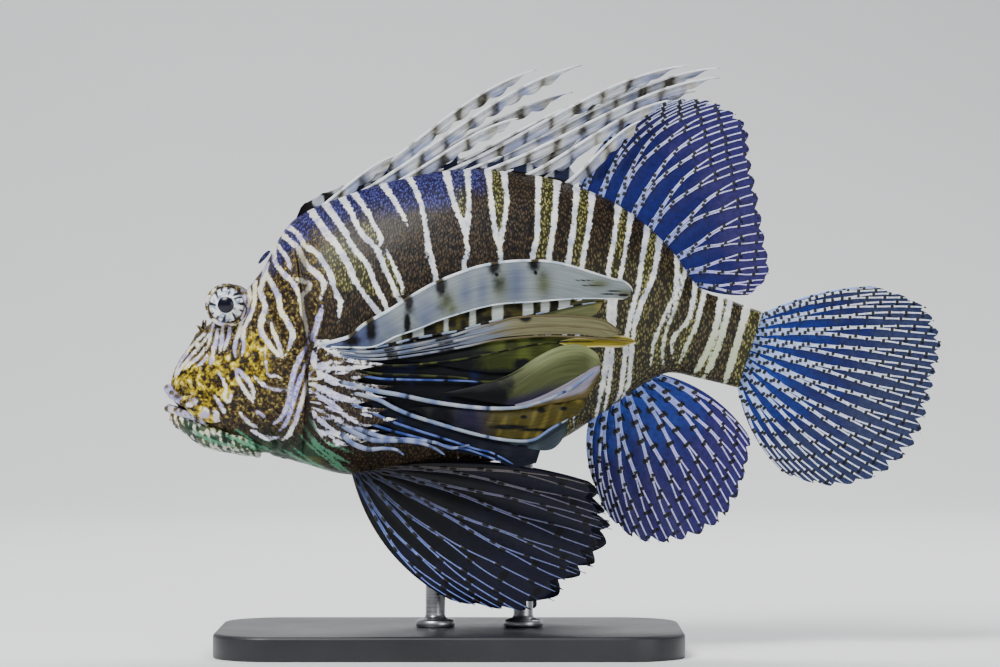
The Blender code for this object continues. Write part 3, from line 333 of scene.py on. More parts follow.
# Rays of the pectoral fin: finish, radius at the root and at the tip, how far out, and the line in side view.
PECTORAL_RAYS = [
    ("white", 0.8, 0.4, 2.3, [(-52.2, 125.6), *TOP_EDGE, (73.5, 147)]),
    ("white", 0.35, 0.28, 2.2, [(-47.4, 124.8), (-40.2, 124.6), (-30, 125), (-21.1, 129), (-12.1, 132.1),
     (-0.6, 136.6), (17.3, 141.5), (35.1, 143), (52.1, 144.2), (69.9, 144)]),
    ("banded", 0.6, 0.3, 0.9, [(-52.2, 124.8), (-39.4, 123.6), (-25.5, 125.4), (-15.5, 127.8), (-5.9, 129.6),
     (4.5, 131.4), (17.3, 135), (32.5, 137.4), (48.5, 141), (61.7, 143.2)]),
    ("grey", 0.7, 0.35, 1.3, [(-52.2, 124), (-33.4, 122.8), (-20.3, 124.4), (-2.3, 128.2), (8.4, 131.5),
     (19.1, 134.4), (26.2, 136.4), (38.7, 137.3), (52.1, 136.8), (61, 135.5), (65.5, 133.3), (68.1, 130.8)]),
    ("grey", 0.6, 0.35, 1.5, [(-51.4, 123.2), (-33.4, 121.2), (-19.5, 122.6), (-2.3, 126.2), (12.5, 129.4),
     (28.5, 132.4), (44.5, 133.2), (60.5, 132), (68.1, 130.4)]),
    ("grey", 0.5, 0.35, 1.2, [(-51.4, 122.4), (-33.4, 120), (-20.3, 120.6), (-2.3, 123.4), (8.5, 125.4),
     (19.3, 127.6), (38.7, 129.2), (60.5, 128.2), (73.6, 127)]),
    ("olive", 0.6, 0.3, 0.2, [(-50.6, 120.8), (-35.4, 118), (-19.5, 117.4), (-3.5, 118.8), (12.5, 121.2),
     (31.3, 125.2), (44.5, 126.8), (58.1, 126.8)]),
    ("olive", 0.6, 0.3, 0.3, [(-50.2, 118.4), (-31.4, 114.4), (-15.5, 113.6), (2.9, 112.8), (18.1, 111.2),
     (34.1, 118), (46.9, 123.2), (59.3, 119.6)]),
    ("blue", 0.6, 0.35, 0.4, [(-49.4, 116), (-29.9, 112.4), (-19.5, 111.8), (-7.5, 111.6), (2.9, 111.4),
     (12.5, 111)]),
    ("bright", 1.05, 0.55, 0.9, [(-49.4, 112.4), (-39.4, 109.6), (-29.1, 107.2), (-19.3, 105.6), (-5.9, 102.9),
     (7.5, 101.1), (19.1, 100.4), (29.8, 101.1), (38.7, 103.8), (47.6, 107.8), (55.6, 113.2), (59.7, 115.8)]),
    ("bright", 1, 0.5, 0.6, [(-49, 108.4), (-38.6, 106.4), (-28.7, 103.8), (-21.9, 100.4), (-14.8, 97.5),
     (-5.9, 94.8), (3, 92.2), (11.9, 89.9), (20.9, 88.2), (29.8, 87.5), (35.1, 88.6), (40.5, 92.2), (47.6, 96.2)]),
    ("blue", 0.7, 0.35, 0.3, [(-48.6, 104.4), (-35.4, 100.4), (-23.5, 95.2), (-11.5, 91.2), (0.5, 87.6), (10.5, 84.4),
     (17.3, 82.8), (25.7, 78.4)]),
    ("blue", 0.7, 0.35, 0, [(-47.8, 100.8), (-37.4, 96.4), (-25.5, 92), (-11.5, 88.4), (0.5, 85.2), (8.4, 83.8),
     (20.9, 79.3)]),
    ("pale", 1.2, 0.5, 0.8, [(-46.2, 96.8), (-35.4, 91.6), (-25.5, 88.4), (-14.8, 87.7), (-5.9, 86.8), (1.2, 84.6),
     (8.4, 85.9)]),
    ("pale", 1.35, 0.45, 1.2, [(-44.6, 94), (-35.4, 89.2), (-29.5, 87.3), (-19.3, 87.3), (-11.3, 86.4), (-5.9, 84.6),
     (-1.5, 81.9)]),
    ("pale", 1.35, 0.45, 1.6, [(-43.4, 90), (-39.4, 86.4), (-35.4, 84.4), (-31.4, 83.7), (-26.4, 84.1), (-21.1, 83.7),
     (-17.9, 81.6)]),
]
# Each ray finish's bars: their pitch in mm, their half width as a share of it, and their strength.
RAY_BARS = {"white": (23.0, 0.035, 0.5), "banded": (9.5, 0.2, 0.95), "grey": (23.0, 0.14, 0.7),
            "olive": (12.0, 0.2, 0.95), "blue": (23.0, 0.035, 0.95), "bright": (31.0, 0.035, 0.7),
            "pale": (14.0, 0.1, 0.6)}
# How far the leaves ripple where they do so more than the rest, and how thick they are.
LEAF_RIPPLES = {"pleats": 0.7, "ruffle": 1.1, "wedge": 0.5, "lower": 0.6}
LEAF_MM = 0.34
# The fin's fleshy base: its front and rear edges, and the place that its streaks run out from.
BASE_FRONT = [(-54, 128), (-56.5, 116), (-56.5, 105), (-54, 94), (-47, 84)]
BASE_REAR = [(-30, 126.5), (-27, 116), (-24, 106), (-22, 97), (-27, 88)]
STREAK_CENTRE = (-82, 108)
# Where the fin leaves the flank, how far it reaches rearwards, and the levels at which its root is taken.
FIN_ROOT_X, FIN_REACH = -53.0, 124.0
ROOT_LEVELS = [86.0, 95.5, 105.5, 115.5, 125.5]

# Half of the upper lip, and the lower jaw's upper and lower lines and half widths.
UPPER_LIP = [(-115.5, 0, 107.5), (-114, 4.5, 105.8), (-110.5, 9, 103.5), (-106, 12, 101), (-100, 14.5, 98.5)]
JAW_TOP = [(-116, 100.5), (-110.5, 98.8), (-102.5, 96.5), (-92, 92), (-80, 88)]
JAW_CHIN = [(-115.3, 94.5), (-110, 89.8), (-102.5, 84.6), (-92, 81.6), (-78, 79.6)]
JAW_HALF = [3.4, 10.5, 14.2, 16.2, 15]
# The plate of the upper jaw: its centre, half sizes and tilt, and where the nostril's tube stands.
JAW_PLATE, JAW_PLATE_SIZE, JAW_PLATE_TILT = np.array((-100.5, 15.3, 99.5)), (9, 4.2, 2.3), -0.5
NOSTRIL = (-101.5, 124.5)
# Points on the head by their root, tip and radius, and flaps of skin by their root, run and half width.
HEAD_POINTS = [((-66, 119.5), (-60.5, 120.5), 1.3), ((-70, 110), (-63.5, 107.5), 1.5), ((-73, 99), (-67, 95.5), 1.5),
               ((-76, 90.5), (-69.5, 87), 1.4), ((-100, 129), (-104, 133.5), 1.0)]
SKIN_FLAPS = [((-77, 106), (11, 2), 1.6), ((-81, 98.5), (5.5, -4), 1.3), ((-82, 90.5), (11, -4.5), 1.7),
              ((-101.5, 130.5), (0.6, 5.5), 0.55), ((-78.5, 159), (4.5, 6), 0.8), ((-96, 91), (1, -3.5), 0.8)]

# The stand in mm: the slab's corner radius and the radii of its upper and lower edges, and the rods' places, their
# profile from the foot up and how far they reach into the body.
BASE_CORNER, BASE_ROLL, BASE_FOOT = 24.0, 1.6, 0.8
RODS = (("stand_rod_front", -6.0), ("stand_rod_rear", 30.0))
ROD_LEVELS = (10.0, 10.0, 10.5, 12.2, 13.0, 13.4, 14.0, 15.0, 40.0)
ROD_RADII = (0.5, 7.4, 8.0, 8.0, 7.4, 5.6, 4.4, 4.0, 4.0, 4.0, 0.5)
ROD_IN_BODY = 3.0

# The stage in metres: the soft boxes with their places, targets, sizes and power in watts, the paper and the camera.
SOFT_BOXES = [
    ("key", (-0.6, -0.9, 1.4), (0, 0, 0.13), (0.7, 0.7), 36.0),
    ("fill", (1.3, -1.5, 0.5), (0, 0, 0.13), (1.0, 1.0), 9.0),
    ("rim", (0.3, 1.0, 1.3), (0.05, 0, 0.16), (1.4, 0.5), 24.0),
]
PAPER_SIDE, PAPER_TOP, PAPER_BACK, PAPER_BEND = 6.0, 3.6, 1.2, 0.7
CAMERA_PLACE, CAMERA_LENS = (0.0205, -1.5, 0.1302), 131.7

RANDOM = np.random.default_rng(7)
LATTICE = RANDOM.random((32, 32, 32))


def side_view(points):
    """Two-number side-view points as points in the fish's middle plane."""
    return np.array([(x, 0.0, z) for x, z in points], float)


def circle(count):
    """The angles of evenly spaced places round a circle."""
    return np.linspace(0, 2 * math.pi, count, endpoint=False)


def unit(vectors):
    """The vectors at unit length."""
    return vectors / np.maximum(np.linalg.norm(vectors, axis=-1, keepdims=True), 1e-9)


def along(values, place):
    """Catmull-Rom: a smooth curve through the values, at places counted in steps between them."""
    values = np.asarray(values, float).reshape(len(values), -1)
    last = len(values) - 1
    place = np.clip(place, 0, last - 1e-9)
    step = np.floor(place).astype(int)
    part = (place - step)[..., None]
    a, b, c, d = (values[np.clip(step + k, 0, last)] for k in (-1, 0, 1, 2))
    curve = 2 * b + (c - a) * part + (2 * a - 5 * b + 4 * c - d) * part**2
    return 0.5 * (curve + (3 * (b - c) + d - a) * part**3)


def ease(x):
    """The cubic smooth step from 0 to 1."""
    x = np.clip(x, 0, 1)
    return x * x * (3 - 2 * x)


def off_middle(place):
    """How far a place counted in steps lies from the middle of its step, from 0 to 0.5."""
    return np.abs(place % 1 - 0.5)


def blunt(u, span=0.03, least=0.15):
    """How a rod's end is rounded: the square root of the way left, over the last part of the rod."""
    return np.sqrt(np.clip((1 - u) / span, least, 1))


def lumps(points, size):
    """Value noise from -1 to 1: random numbers on a cubic lattice of the given pitch in mm, smoothly blended."""
    place = np.asarray(points, float) / size + 100
    cell = np.floor(place).astype(int)
    part = ease(place - cell)
    total = 0
    for corner in np.ndindex(2, 2, 2):
        weight = np.prod(np.where(np.array(corner) == 1, part, 1 - part), axis=-1)
        total = total + weight * LATTICE[tuple(np.moveaxis((cell + corner) % 32, -1, 0))]
    return total * 2 - 1


def sway(x):
    """How far the spine bends sideways at x: a square law out of the straight middle."""
    tail = np.clip((x - LOIN_X) / (TAIL_X - LOIN_X), 0, None)
    head = np.clip((x - NAPE_X) / (SNOUT_X - NAPE_X), 0, None)
    return SWAY_TAIL * tail**2 + SWAY_HEAD * head**2


def gill_edge(turn):
    """The gill cover's rear edge as a station: a sine squared bow towards the tail at mid height."""
    return GILL + GILL_BOW * np.sin(turn) ** 2


def body(station, turn):
    """The body's surface: between back and belly, each section is a pair of half ovals whose width is a power of
    the turn's sine. turn runs from the back (0) down the left flank to the belly (pi) and up the right flank."""
    station, turn = np.broadcast_arrays(np.asarray(station, float), np.asarray(turn, float))
    back, belly = along(BACK, station), along(BELLY, station)
    half, widest, upper, lower = (
        along(v, station)[..., 0] for v in (HALF_WIDTH, WIDEST, BACK_SHARPNESS, BELLY_SHARPNESS)
    )
    fall, side = np.cos(turn), np.abs(np.sin(turn))
    depth = np.where(fall > 0, widest * (1 - fall), widest - (1 - widest) * fall)
    out = half * side ** np.where(fall > 0, upper, lower)
    edge = gill_edge(turn)
    lift = GILL_LIFT * ease((station - edge + 0.9) / 0.9) * ease((edge + 0.02 - station) / 0.04)
    sink = GILL_SINK * (1 - ease((station - edge) / 0.6)) * ease((station - edge + 0.02) / 0.04)
    out = out + (lift - sink) * side
    middle = back + (belly - back) * depth[..., None]
    return np.stack([middle[..., 0], -np.sign(np.sin(turn)) * out, middle[..., 1]], -1)


FLANK = body(np.linspace(0, TAIL_END, 321)[:, None], np.linspace(0.02, math.pi - 0.02, 161)[None, :]).reshape(-1, 3)


def flank(x, z):
    """The body's half width at a place on its side, from the nearest point of a fine grid of the skin."""
    near = np.argmin((FLANK[:, 0] - x) ** 2 + (FLANK[:, 2] - z) ** 2)
    return -FLANK[near, 1]


FIN_ROOTS = [flank(FIN_ROOT_X, level) - ROOT_DEPTH for level in ROOT_LEVELS]


def outward(points, wrap):
    """Unit normals of a grid of points: the cross product of its two gradients, columns first."""
    around = np.concatenate([points[:, -1:], points, points[:, :1]], axis=1) if wrap else points
    across = np.gradient(around, axis=1)
    across = across[:, 1:-1] if wrap else across
    return unit(np.cross(across, np.gradient(points, axis=0)))


def raised(points, height):
    """The points of a closed form moved outwards along their normals."""
    return points + outward(points, True) * height[..., None]


def smooth_line(path):
    """A line's places in side view as a smooth curve."""
    return along(path, np.linspace(0, len(path) - 1, 16)) if len(path) > 2 else np.array(path, float)


def field(points, lines, reach=9.0):
    """The smallest side-view distance to any line less its half width: below 0 inside a line. Each half width
    narrows by a square root over the last fifth of the line at its two ends. A line that starts at the back runs on
    over it at its full width."""
    flat = points[..., (0, 2)].reshape(-1, 2)
    ridge = along(BACK, np.linspace(0, len(BACK) - 1, 200))
    best = np.full(len(flat), reach)
    for half, path in lines:
        line = path if isinstance(path, np.ndarray) else smooth_line(path)
        over = np.min(np.linalg.norm(ridge - line[0], axis=1)) < 4
        if over:
            run = line[0] - line[1]
            line = np.concatenate([[line[0] + 3 * run / np.linalg.norm(run)], line])
        near = np.flatnonzero(np.all((flat > line.min(0) - reach) & (flat < line.max(0) + reach), axis=1))
        found, spots = best[near], flat[near]
        for step, (a, b) in enumerate(zip(line[:-1], line[1:])):
            run = b - a
            share = np.clip(((spots - a) @ run) / max(run @ run, 1e-12), 0, 1)
            gap = np.linalg.norm(spots - a - share[:, None] * run, axis=1)
            place = (step + share) / (len(line) - 1)
            width = half * np.sqrt(np.clip(np.minimum(np.maximum(place, over), 1 - place) / TAPER, 0.12, 1))
            found = np.minimum(found, gap - width)
        best[near] = found
    return best.reshape(points.shape[:-1])


def line_gap(points, path, reach=9.0):
    """The side-view distance to one line of straight pieces."""
    return field(points, [(0.0, np.array(path, float))], reach)


def blob(points, x, z, wide, high):
    """A soft round patch in side view: a Gaussian of the two half sizes."""
    return np.exp(-(((points[..., 0] - x) / wide) ** 2) - ((points[..., 2] - z) / high) ** 2)


class Patch:
    """A closed form with its values: a grid of points, joined round its columns and covered at both ends."""

    def __init__(self, points, **values):
        self.points = np.asarray(points, float)
        self.values = {key: np.broadcast_to(value, self.points.shape[:2]) for key, value in values.items()}

    def faces(self):
        """Quads between neighbouring rows, and strips across each end."""
        rows, columns = self.points.shape[:2]
        i, j = np.arange(rows - 1)[:, None], np.arange(columns)[None, :]
        a, b = i * columns + j, i * columns + (j + 1) % columns
        quads = np.stack([a, b, b + columns, a + columns], -1).reshape(-1, 4)
        j = np.arange(1, columns // 2 - 1)
        strip = np.stack([j, columns - j, columns - j - 1, j + 1], -1)
        return np.concatenate([quads, strip, strip[:, ::-1] + (rows - 1) * columns])

    def ends(self):
        """The two triangles that finish each end."""
        rows, columns = self.points.shape[:2]
        first = np.array([(0, columns - 1, 1), (columns // 2 - 1, columns // 2 + 1, columns // 2)])
        return np.concatenate([first, first[:, ::-1] + (rows - 1) * columns])


def shell(points, thickness, **values):
    """A thin closed form: the grid moved half the thickness along its normals to both sides, joined all round."""
    shift = outward(points, False) * np.broadcast_to(thickness, points.shape[:2])[..., None] / 2
    twice = {}
    for key, value in values.items():
        value = np.broadcast_to(value, points.shape[:2])
        twice[key] = np.concatenate([value, value[:, ::-1]], axis=1)
    return Patch(np.concatenate([points + shift, (points - shift)[:, ::-1]], axis=1), **twice)


def tube(path, radii, sides, flat=1.0, **values):
    """A closed tube: a circle of the given radii, flattened sideways, carried along a path. Its values may differ
    along the path."""
    path = np.asarray(path, float)
    run = unit(np.gradient(path, axis=0))
    across = unit(np.cross(run, (0.0, 1.0, 0.05)))
    out = np.cross(run, across)
    turn = circle(sides)[:, None]
    ring = np.cos(turn) * across[:, None] + np.sin(turn) * flat * out[:, None]
    values = {key: np.broadcast_to(value, len(path))[:, None] for key, value in values.items()}
    return Patch(path[:, None] + np.broadcast_to(radii, len(path))[:, None, None] * ring, **values)


def new_object(name, data):
    """An object of the data, linked into the scene."""
    obj = bpy.data.objects.new(name, data)
    bpy.context.scene.collection.objects.link(obj)
    return obj


def build(name, patches, material, slot, *nodes, bend=True):
    """One mesh of all the patches, placed in its vertices, riding on the part and standing for the CAD nodes."""
    starts = np.cumsum([0] + [patch.points[..., 0].size for patch in patches])
    points = np.concatenate([patch.points.reshape(-1, 3) for patch in patches])
    quads = np.concatenate([patch.faces() + start for patch, start in zip(patches, starts)])
    ends = np.concatenate([patch.ends() + start for patch, start in zip(patches, starts)])
    if bend:
        points[:, 1] += sway(points[:, 0])
    loops = np.concatenate([quads.ravel(), ends.ravel()])
    sizes = np.repeat((4, 3), (len(quads), len(ends)))
    mesh = bpy.data.meshes.new(name)
    mesh.vertices.add(len(points))
    mesh.vertices.foreach_set("co", (points * MM).ravel())
    mesh.loops.add(len(loops))
    mesh.loops.foreach_set("vertex_index", loops)
    mesh.polygons.add(len(sizes))
    mesh.polygons.foreach_set("loop_start", np.concatenate([[0], np.cumsum(sizes)[:-1]]))
    mesh.polygons.foreach_set("use_smooth", np.ones(len(sizes), bool))
    for key in sorted({key for patch in patches for key in patch.values}):
        value = [patch.values.get(key, np.zeros(patch.points.shape[:2])).ravel() for patch in patches]
        attribute = mesh.attributes.new(key, "FLOAT", "POINT")
        attribute.data.foreach_set("value", np.concatenate(value).astype(np.float32))
    mesh.update(calc_edges=True)
    mesh.validate()
    mesh.materials.append(material)
    obj = new_object(name, mesh)
    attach(obj, "root")
    if nodes:
        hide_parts(*nodes)


def colour(code):
    """An sRGB hex value, or a linear colour as it is, as linear red, green, blue and alpha."""
    if not isinstance(code, str):
        return (*code[:3], 1.0)
    parts = [int(code[i : i + 2], 16) / 255 for i in (1, 3, 5)]
    return (*(c / 12.92 if c <= 0.04045 else ((c + 0.055) / 1.055) ** 2.4 for c in parts), 1.0)


def fill(tree, node, inputs):
    """Sets a node's inputs, by name or number: another node's output, an sRGB hex value or a plain value."""
    for key, value in inputs.items():
        if isinstance(value, bpy.types.NodeSocket):
            tree.links.new(value, node.inputs[key])
        else:
            node.inputs[key].default_value = colour(value) if isinstance(value, str) else value


def add(tree, kind, inputs, stops=(), out=0, **settings):
    """Adds a node with its settings and inputs and returns one of its outputs. The stops fill a colour ramp."""
    node = tree.nodes.new("ShaderNode" + kind)
    for key, value in settings.items():
        setattr(node, key, value)
    fill(tree, node, inputs)
    for _ in stops[2:]:
        node.color_ramp.elements.new(0.5)
    for number, (place, code) in enumerate(stops):
        element = node.color_ramp.elements[number]
        element.position, element.color = place, colour(code)
    return node.outputs[out]


def new_material(name, *attributes):
    """A new material, its tree and shader, the Object coordinates, and the attributes that it reads."""
    material = bpy.data.materials.new(name)
    material.use_nodes = True
    tree = material.node_tree
    read = {key: add(tree, "Attribute", {}, out="Fac", attribute_name=key) for key in attributes}
    return material, tree, tree.nodes["Principled BSDF"], add(tree, "TexCoord", {}, out="Object"), read


def fish_skin(colours):
    """Painted and lacquered resin skin: banded colour, fine scales in relief with painted highlights, painted shade
    in the mouth's gap and at the gill cover's edge, a thin satin coat.
    """
    name = "lacquered_scaled_skin"
    if name in bpy.data.materials:
        return bpy.data.materials[name]
    material, tree, shader, place, read = new_material(
        name, "white", "olive", "gold", "blue", "green", "face", "throat", "pale", "deep", "knob", "violet")
    grain = add(tree, "TexNoise", {"Vector": place, "Scale": 700.0, "Detail": 4.0, "Roughness": 0.6})
    broad = add(tree, "TexNoise", {"Vector": place, "Scale": 160.0, "Detail": 3.0})
    stretched = add(tree, "Mapping", {"Vector": place, "Scale": (1150.0, 760.0, 520.0), "Rotation": (0, 0.4, 0)})
    cells = add(tree, "TexVoronoi", {"Vector": stretched, "Scale": 1.0, "Randomness": 0.7})
    # The stretched cells are the scales. Each cell's middle gets a painted highlight: tan on the dark bands, pale
    # olive in the olive bands and pale blue on the back.
    dash = add(tree, "MapRange", {0: cells, 1: 0.15, 2: 0.58, 3: 1.0, 4: 0.0}, interpolation_type="SMOOTHSTEP")
    scale_highlights = add(tree, "Math", {0: dash, 1: 0.5}, operation="MULTIPLY")
    knob = add(tree, "Math", {0: read["knob"], 1: 0.5, 2: -0.25}, operation="MULTIPLY_ADD")
    knob = add(tree, "Math", {0: knob, 1: grain}, operation="ADD")
    ramps = {
        "dark": (broad, [(0.38, "#080505"), (0.62, colours.dark)]),
        "olive": (dash, [(0.0, "#26240f"), (0.35, "#4f4d26"), (0.95, "#8c8a54")]),
        "gold": (grain, [(0.4, "#0c0705"), (0.5, "#2e2110"), (0.58, "#5c4b20"), (0.68, "#a39850")]),
        "face": (knob, [(0.36, "#150d05"), (0.46, "#54430c"), (0.57, "#a08b10"), (0.66, "#c9b52a"),
                        (0.78, "#ece6ae")]),
        "throat": (broad, [(0.35, "#0c1d16"), (0.5, "#1f3c2a"), (0.65, "#454a22")]),
        "white": (broad, [(0.35, "#b4bac8"), (0.5, "#dcdee4"), (0.62, "#efeee6")]),
        "cream": (broad, [(0.4, "#a9a2c8"), (0.48, "#dcd9de"), (0.6, "#ece6c6")]),
        "violet": (grain, [(0.38, "#6f6cb4"), (0.5, "#a6a2d4"), (0.62, "#dddcee")]),
    }
    tone = {key: add(tree, "ValToRGB", {"Fac": by}, stops) for key, (by, stops) in ramps.items()}
    tone["blue"] = add(tree, "Mix", {0: dash, 6: "#14133c", 7: "#474c9c"}, out=2, data_type="RGBA")
    wander = add(tree, "Math", {0: grain, 1: 2.4, 2: -1.2}, operation="MULTIPLY_ADD")
    line = {}
    for key, inside, most in (("white", -0.2, 1.0), ("green", -0.3, 0.8)):
        edge = add(tree, "Math", {0: read[key], 1: wander}, operation="ADD")
        line[key] = add(tree, "MapRange", {0: edge, 1: 0.35, 2: inside, 3: 0.0, 4: most},
                        interpolation_type="SMOOTHSTEP")
    white = tone["white"]
    for share, coat in ((read["gold"], tone["cream"]), (read["violet"], tone["violet"]), (read["pale"], "#b5bda0")):
        white = add(tree, "Mix", {0: share, 6: white, 7: coat}, out=2, data_type="RGBA")
    # The tan coat is the scales' painted highlight.
    coats = [(scale_highlights, "#645238")] + [(read[key], tone[key]) for key in ("olive", "gold", "blue", "face", "throat")]
    # The share deep paints shade: near black where the mouth's gap and the crease behind the gill cover's edge lie in
    # shade.
    coats += [(line["white"], white), (line["green"], "#559070"), (read["deep"], "#140808")]
    mixed = tone["dark"]
    for share, coat in coats:
        mixed = add(tree, "Mix", {0: share, 6: mixed, 7: coat}, out=2, data_type="RGBA")
    rough = add(tree, "MapRange", {0: grain, 1: 0.3, 2: 0.7, 3: 0.36, 4: 0.58})
    height = add(tree, "Math", {0: cells, 1: -0.6}, operation="MULTIPLY")
    height = add(tree, "Math", {0: grain, 1: 0.7, 2: height}, operation="MULTIPLY_ADD")
    bump = add(tree, "Bump", {"Height": height, "Strength": 0.6, "Distance": 0.0005})
    fill(tree, shader, {"Base Color": mixed, "Roughness": rough, "Specular IOR Level": 0.2, "Coat Weight": 0.06,
                        "Coat Roughness": 0.2, "Normal": bump})
    return material


def spot_offset(tree, read, pitch):
    """How far a place on a ray is from the middle of its spot, as a share of the pitch: a saw tooth of its distance
    from the ray's root."""
    step = add(tree, "Math", {0: read["along"], 1: 1 / pitch, 2: read["ray"]}, operation="MULTIPLY_ADD")
    step = add(tree, "Math", {0: step}, operation="FRACT")
    return add(tree, "Math", {0: step, 1: -0.5}, operation="ADD")


def fin_skin(name, near, middle, far, spot, pitch):
    """Cast fin membrane: deep colour that turns from base to margin, thin and a little glossy, with round black
    spots at a steady pitch along each half of a ray. spot gives their radius in mm at the base and the margin."""
    material, tree, shader, place, read = new_material(name, "u", "along", "across", "ray")
    grain = add(tree, "TexNoise", {"Vector": place, "Scale": 90.0, "Detail": 4.0})
    fine = add(tree, "TexNoise", {"Vector": place, "Scale": 600.0, "Detail": 3.0})
    share = add(tree, "Math", {0: grain, 1: 0.7, 2: read["u"]}, operation="MULTIPLY_ADD")
    base = add(tree, "ValToRGB", {"Fac": share}, [(0.35, near), (0.8, middle), (1.0, far)])
    shade = add(tree, "MapRange", {0: fine, 1: 0.3, 2: 0.7, 3: 0.7, 4: 1.3})
    base = add(tree, "VectorMath", {0: base, "Scale": shade}, operation="SCALE")
    offset = add(tree, "Math", {0: spot_offset(tree, read, pitch), 1: pitch}, operation="MULTIPLY")
    span = add(tree, "CombineXYZ", {0: offset, 1: read["across"]})
    radius = add(tree, "VectorMath", {0: span}, out="Value", operation="LENGTH")
    size = add(tree, "MapRange", {0: read["u"], 1: 0.0, 2: 1.0, 3: spot[0], 4: spot[1]})
    rest = add(tree, "Math", {0: radius, 1: size}, operation="SUBTRACT")
    dot = add(tree, "MapRange", {0: rest, 1: 0.15, 2: -0.1, 3: 0.0, 4: 1.0}, interpolation_type="SMOOTHSTEP")
    base = add(tree, "Mix", {0: dot, 6: base, 7: "#050509"}, out=2, data_type="RGBA")
    bump = add(tree, "Bump", {"Height": fine, "Strength": 0.2, "Distance": 0.0004})
    fill(tree, shader, {"Base Color": base, "Roughness": 0.42, "Specular IOR Level": 0.22, "Normal": bump})
    return material


def ray_bone(name, root, light, rear, gap, pitch):
    """Painted fin rays: chalky lines with dark spots at a steady pitch, a little waxy. They turn from the root's
    colour to the light one towards the margin, and to the rear one across the fin."""
    material, tree, shader, place, read = new_material(name, "along", "ray", "u", "v")
    grain = add(tree, "TexNoise", {"Vector": place, "Scale": 900.0, "Detail": 2.0})
    tone = add(tree, "Mix", {0: read["v"], 6: light, 7: rear}, out=2, data_type="RGBA")
    far = add(tree, "MapRange", {0: read["u"], 1: 0.0, 2: 0.55, 3: 0.0, 4: 1.0})
    tone = add(tree, "Mix", {0: far, 6: root, 7: tone}, out=2, data_type="RGBA")
    offset = add(tree, "Math", {0: spot_offset(tree, read, pitch)}, operation="ABSOLUTE")
    dot = add(tree, "MapRange", {0: offset, 1: gap, 2: gap - 0.04, 3: 0.0, 4: 1.0})
    shade = add(tree, "MapRange", {0: grain, 1: 0.3, 2: 0.6, 3: 0.72, 4: 1.05})
    tone = add(tree, "VectorMath", {0: tone, "Scale": shade}, operation="SCALE")
    base = add(tree, "Mix", {0: dot, 6: tone, 7: "#050508"}, out=2, data_type="RGBA")
    fill(tree, shader, {"Base Color": base, "Roughness": 0.42})
    return material


def vane_skin(name, colours, streak):
    """Thin cast skin of a vane, painted and rubbed down: hair lines run along it, soft dark marks cross it, and warm
    and cool glazes cloud it. On some pieces the warm share is a painted highlight and the dark one painted shade. The
    four colours are the light, warm, cool and dark ones."""
    material, tree, shader, place, read = new_material(name, "along", "across", "warm", "cool", "dark")
    light, warm, cool, dark = colours
    grain = add(tree, "TexNoise", {"Vector": place, "Scale": 520.0, "Detail": 3.0})
    far = add(tree, "Math", {0: read["along"], 1: 0.05}, operation="MULTIPLY")
    wide = add(tree, "Math", {0: read["across"], 1: 1.7}, operation="MULTIPLY")
    hair = add(tree, "CombineXYZ", {0: far, 1: wide})
    hair = add(tree, "TexNoise", {"Vector": hair, "Scale": 1.0, "Detail": 3.0})
    mixed = add(tree, "Mix", {0: read["warm"], 6: light, 7: warm}, out=2, data_type="RGBA")
    mixed = add(tree, "Mix", {0: read["cool"], 6: mixed, 7: cool}, out=2, data_type="RGBA")
    shade = add(tree, "MapRange", {0: hair, 1: 0.35, 2: 0.65, 3: 1 - streak, 4: 1 + streak / 2})
    mixed = add(tree, "VectorMath", {0: mixed, "Scale": shade}, operation="SCALE")
    share = add(tree, "Math", {0: grain, 1: 0.5, 2: -0.25}, operation="MULTIPLY_ADD")
    share = add(tree, "Math", {0: share, 1: read["dark"]}, operation="ADD")
    share = add(tree, "MapRange", {0: share, 1: 0.15, 2: 0.85, 3: 0.0, 4: 1.0}, interpolation_type="SMOOTHSTEP")
    mixed = add(tree, "Mix", {0: share, 6: mixed, 7: dark}, out=2, data_type="RGBA")
    height = add(tree, "Math", {0: grain, 1: 0.5, 2: hair}, operation="MULTIPLY_ADD")
    bump = add(tree, "Bump", {"Height": height, "Strength": 0.25, "Distance": 0.0003})
    fill(tree, shader, {"Base Color": mixed, "Roughness": 0.5, "Specular IOR Level": 0.12, "Normal": bump})
    return material


def eye_gloss(pupil):
    """Glass eye: white iris with dark spokes, blue-black pupil, clear polished front."""
    material, tree, shader, place, read = new_material("glass_eye", "off", "dark")
    grain = add(tree, "TexNoise", {"Vector": place, "Scale": 480.0, "Detail": 2.0})
    mixed = add(tree, "ValToRGB", {"Fac": grain}, [(0.38, "#8d9bb0"), (0.5, "#dde4ea"), (0.6, "#f4f7f7")])
    ring = add(tree, "MapRange", {0: read["off"], 1: pupil + 0.15, 2: pupil - 0.05, 3: 0.0, 4: 1.0})
    rim = add(tree, "MapRange", {0: read["off"], 1: 6.7, 2: 7.3, 3: 0.0, 4: 0.9})
    for share, coat in ((read["dark"], "#14162a"), (ring, "#04061a"), (rim, "#3a3128")):
        mixed = add(tree, "Mix", {0: share, 6: mixed, 7: coat}, out=2, data_type="RGBA")
    fill(tree, shader, {"Base Color": mixed, "Roughness": 0.3, "Specular IOR Level": 0.2, "Coat Weight": 0.35,
                        "Coat Roughness": 0.03})
    return material


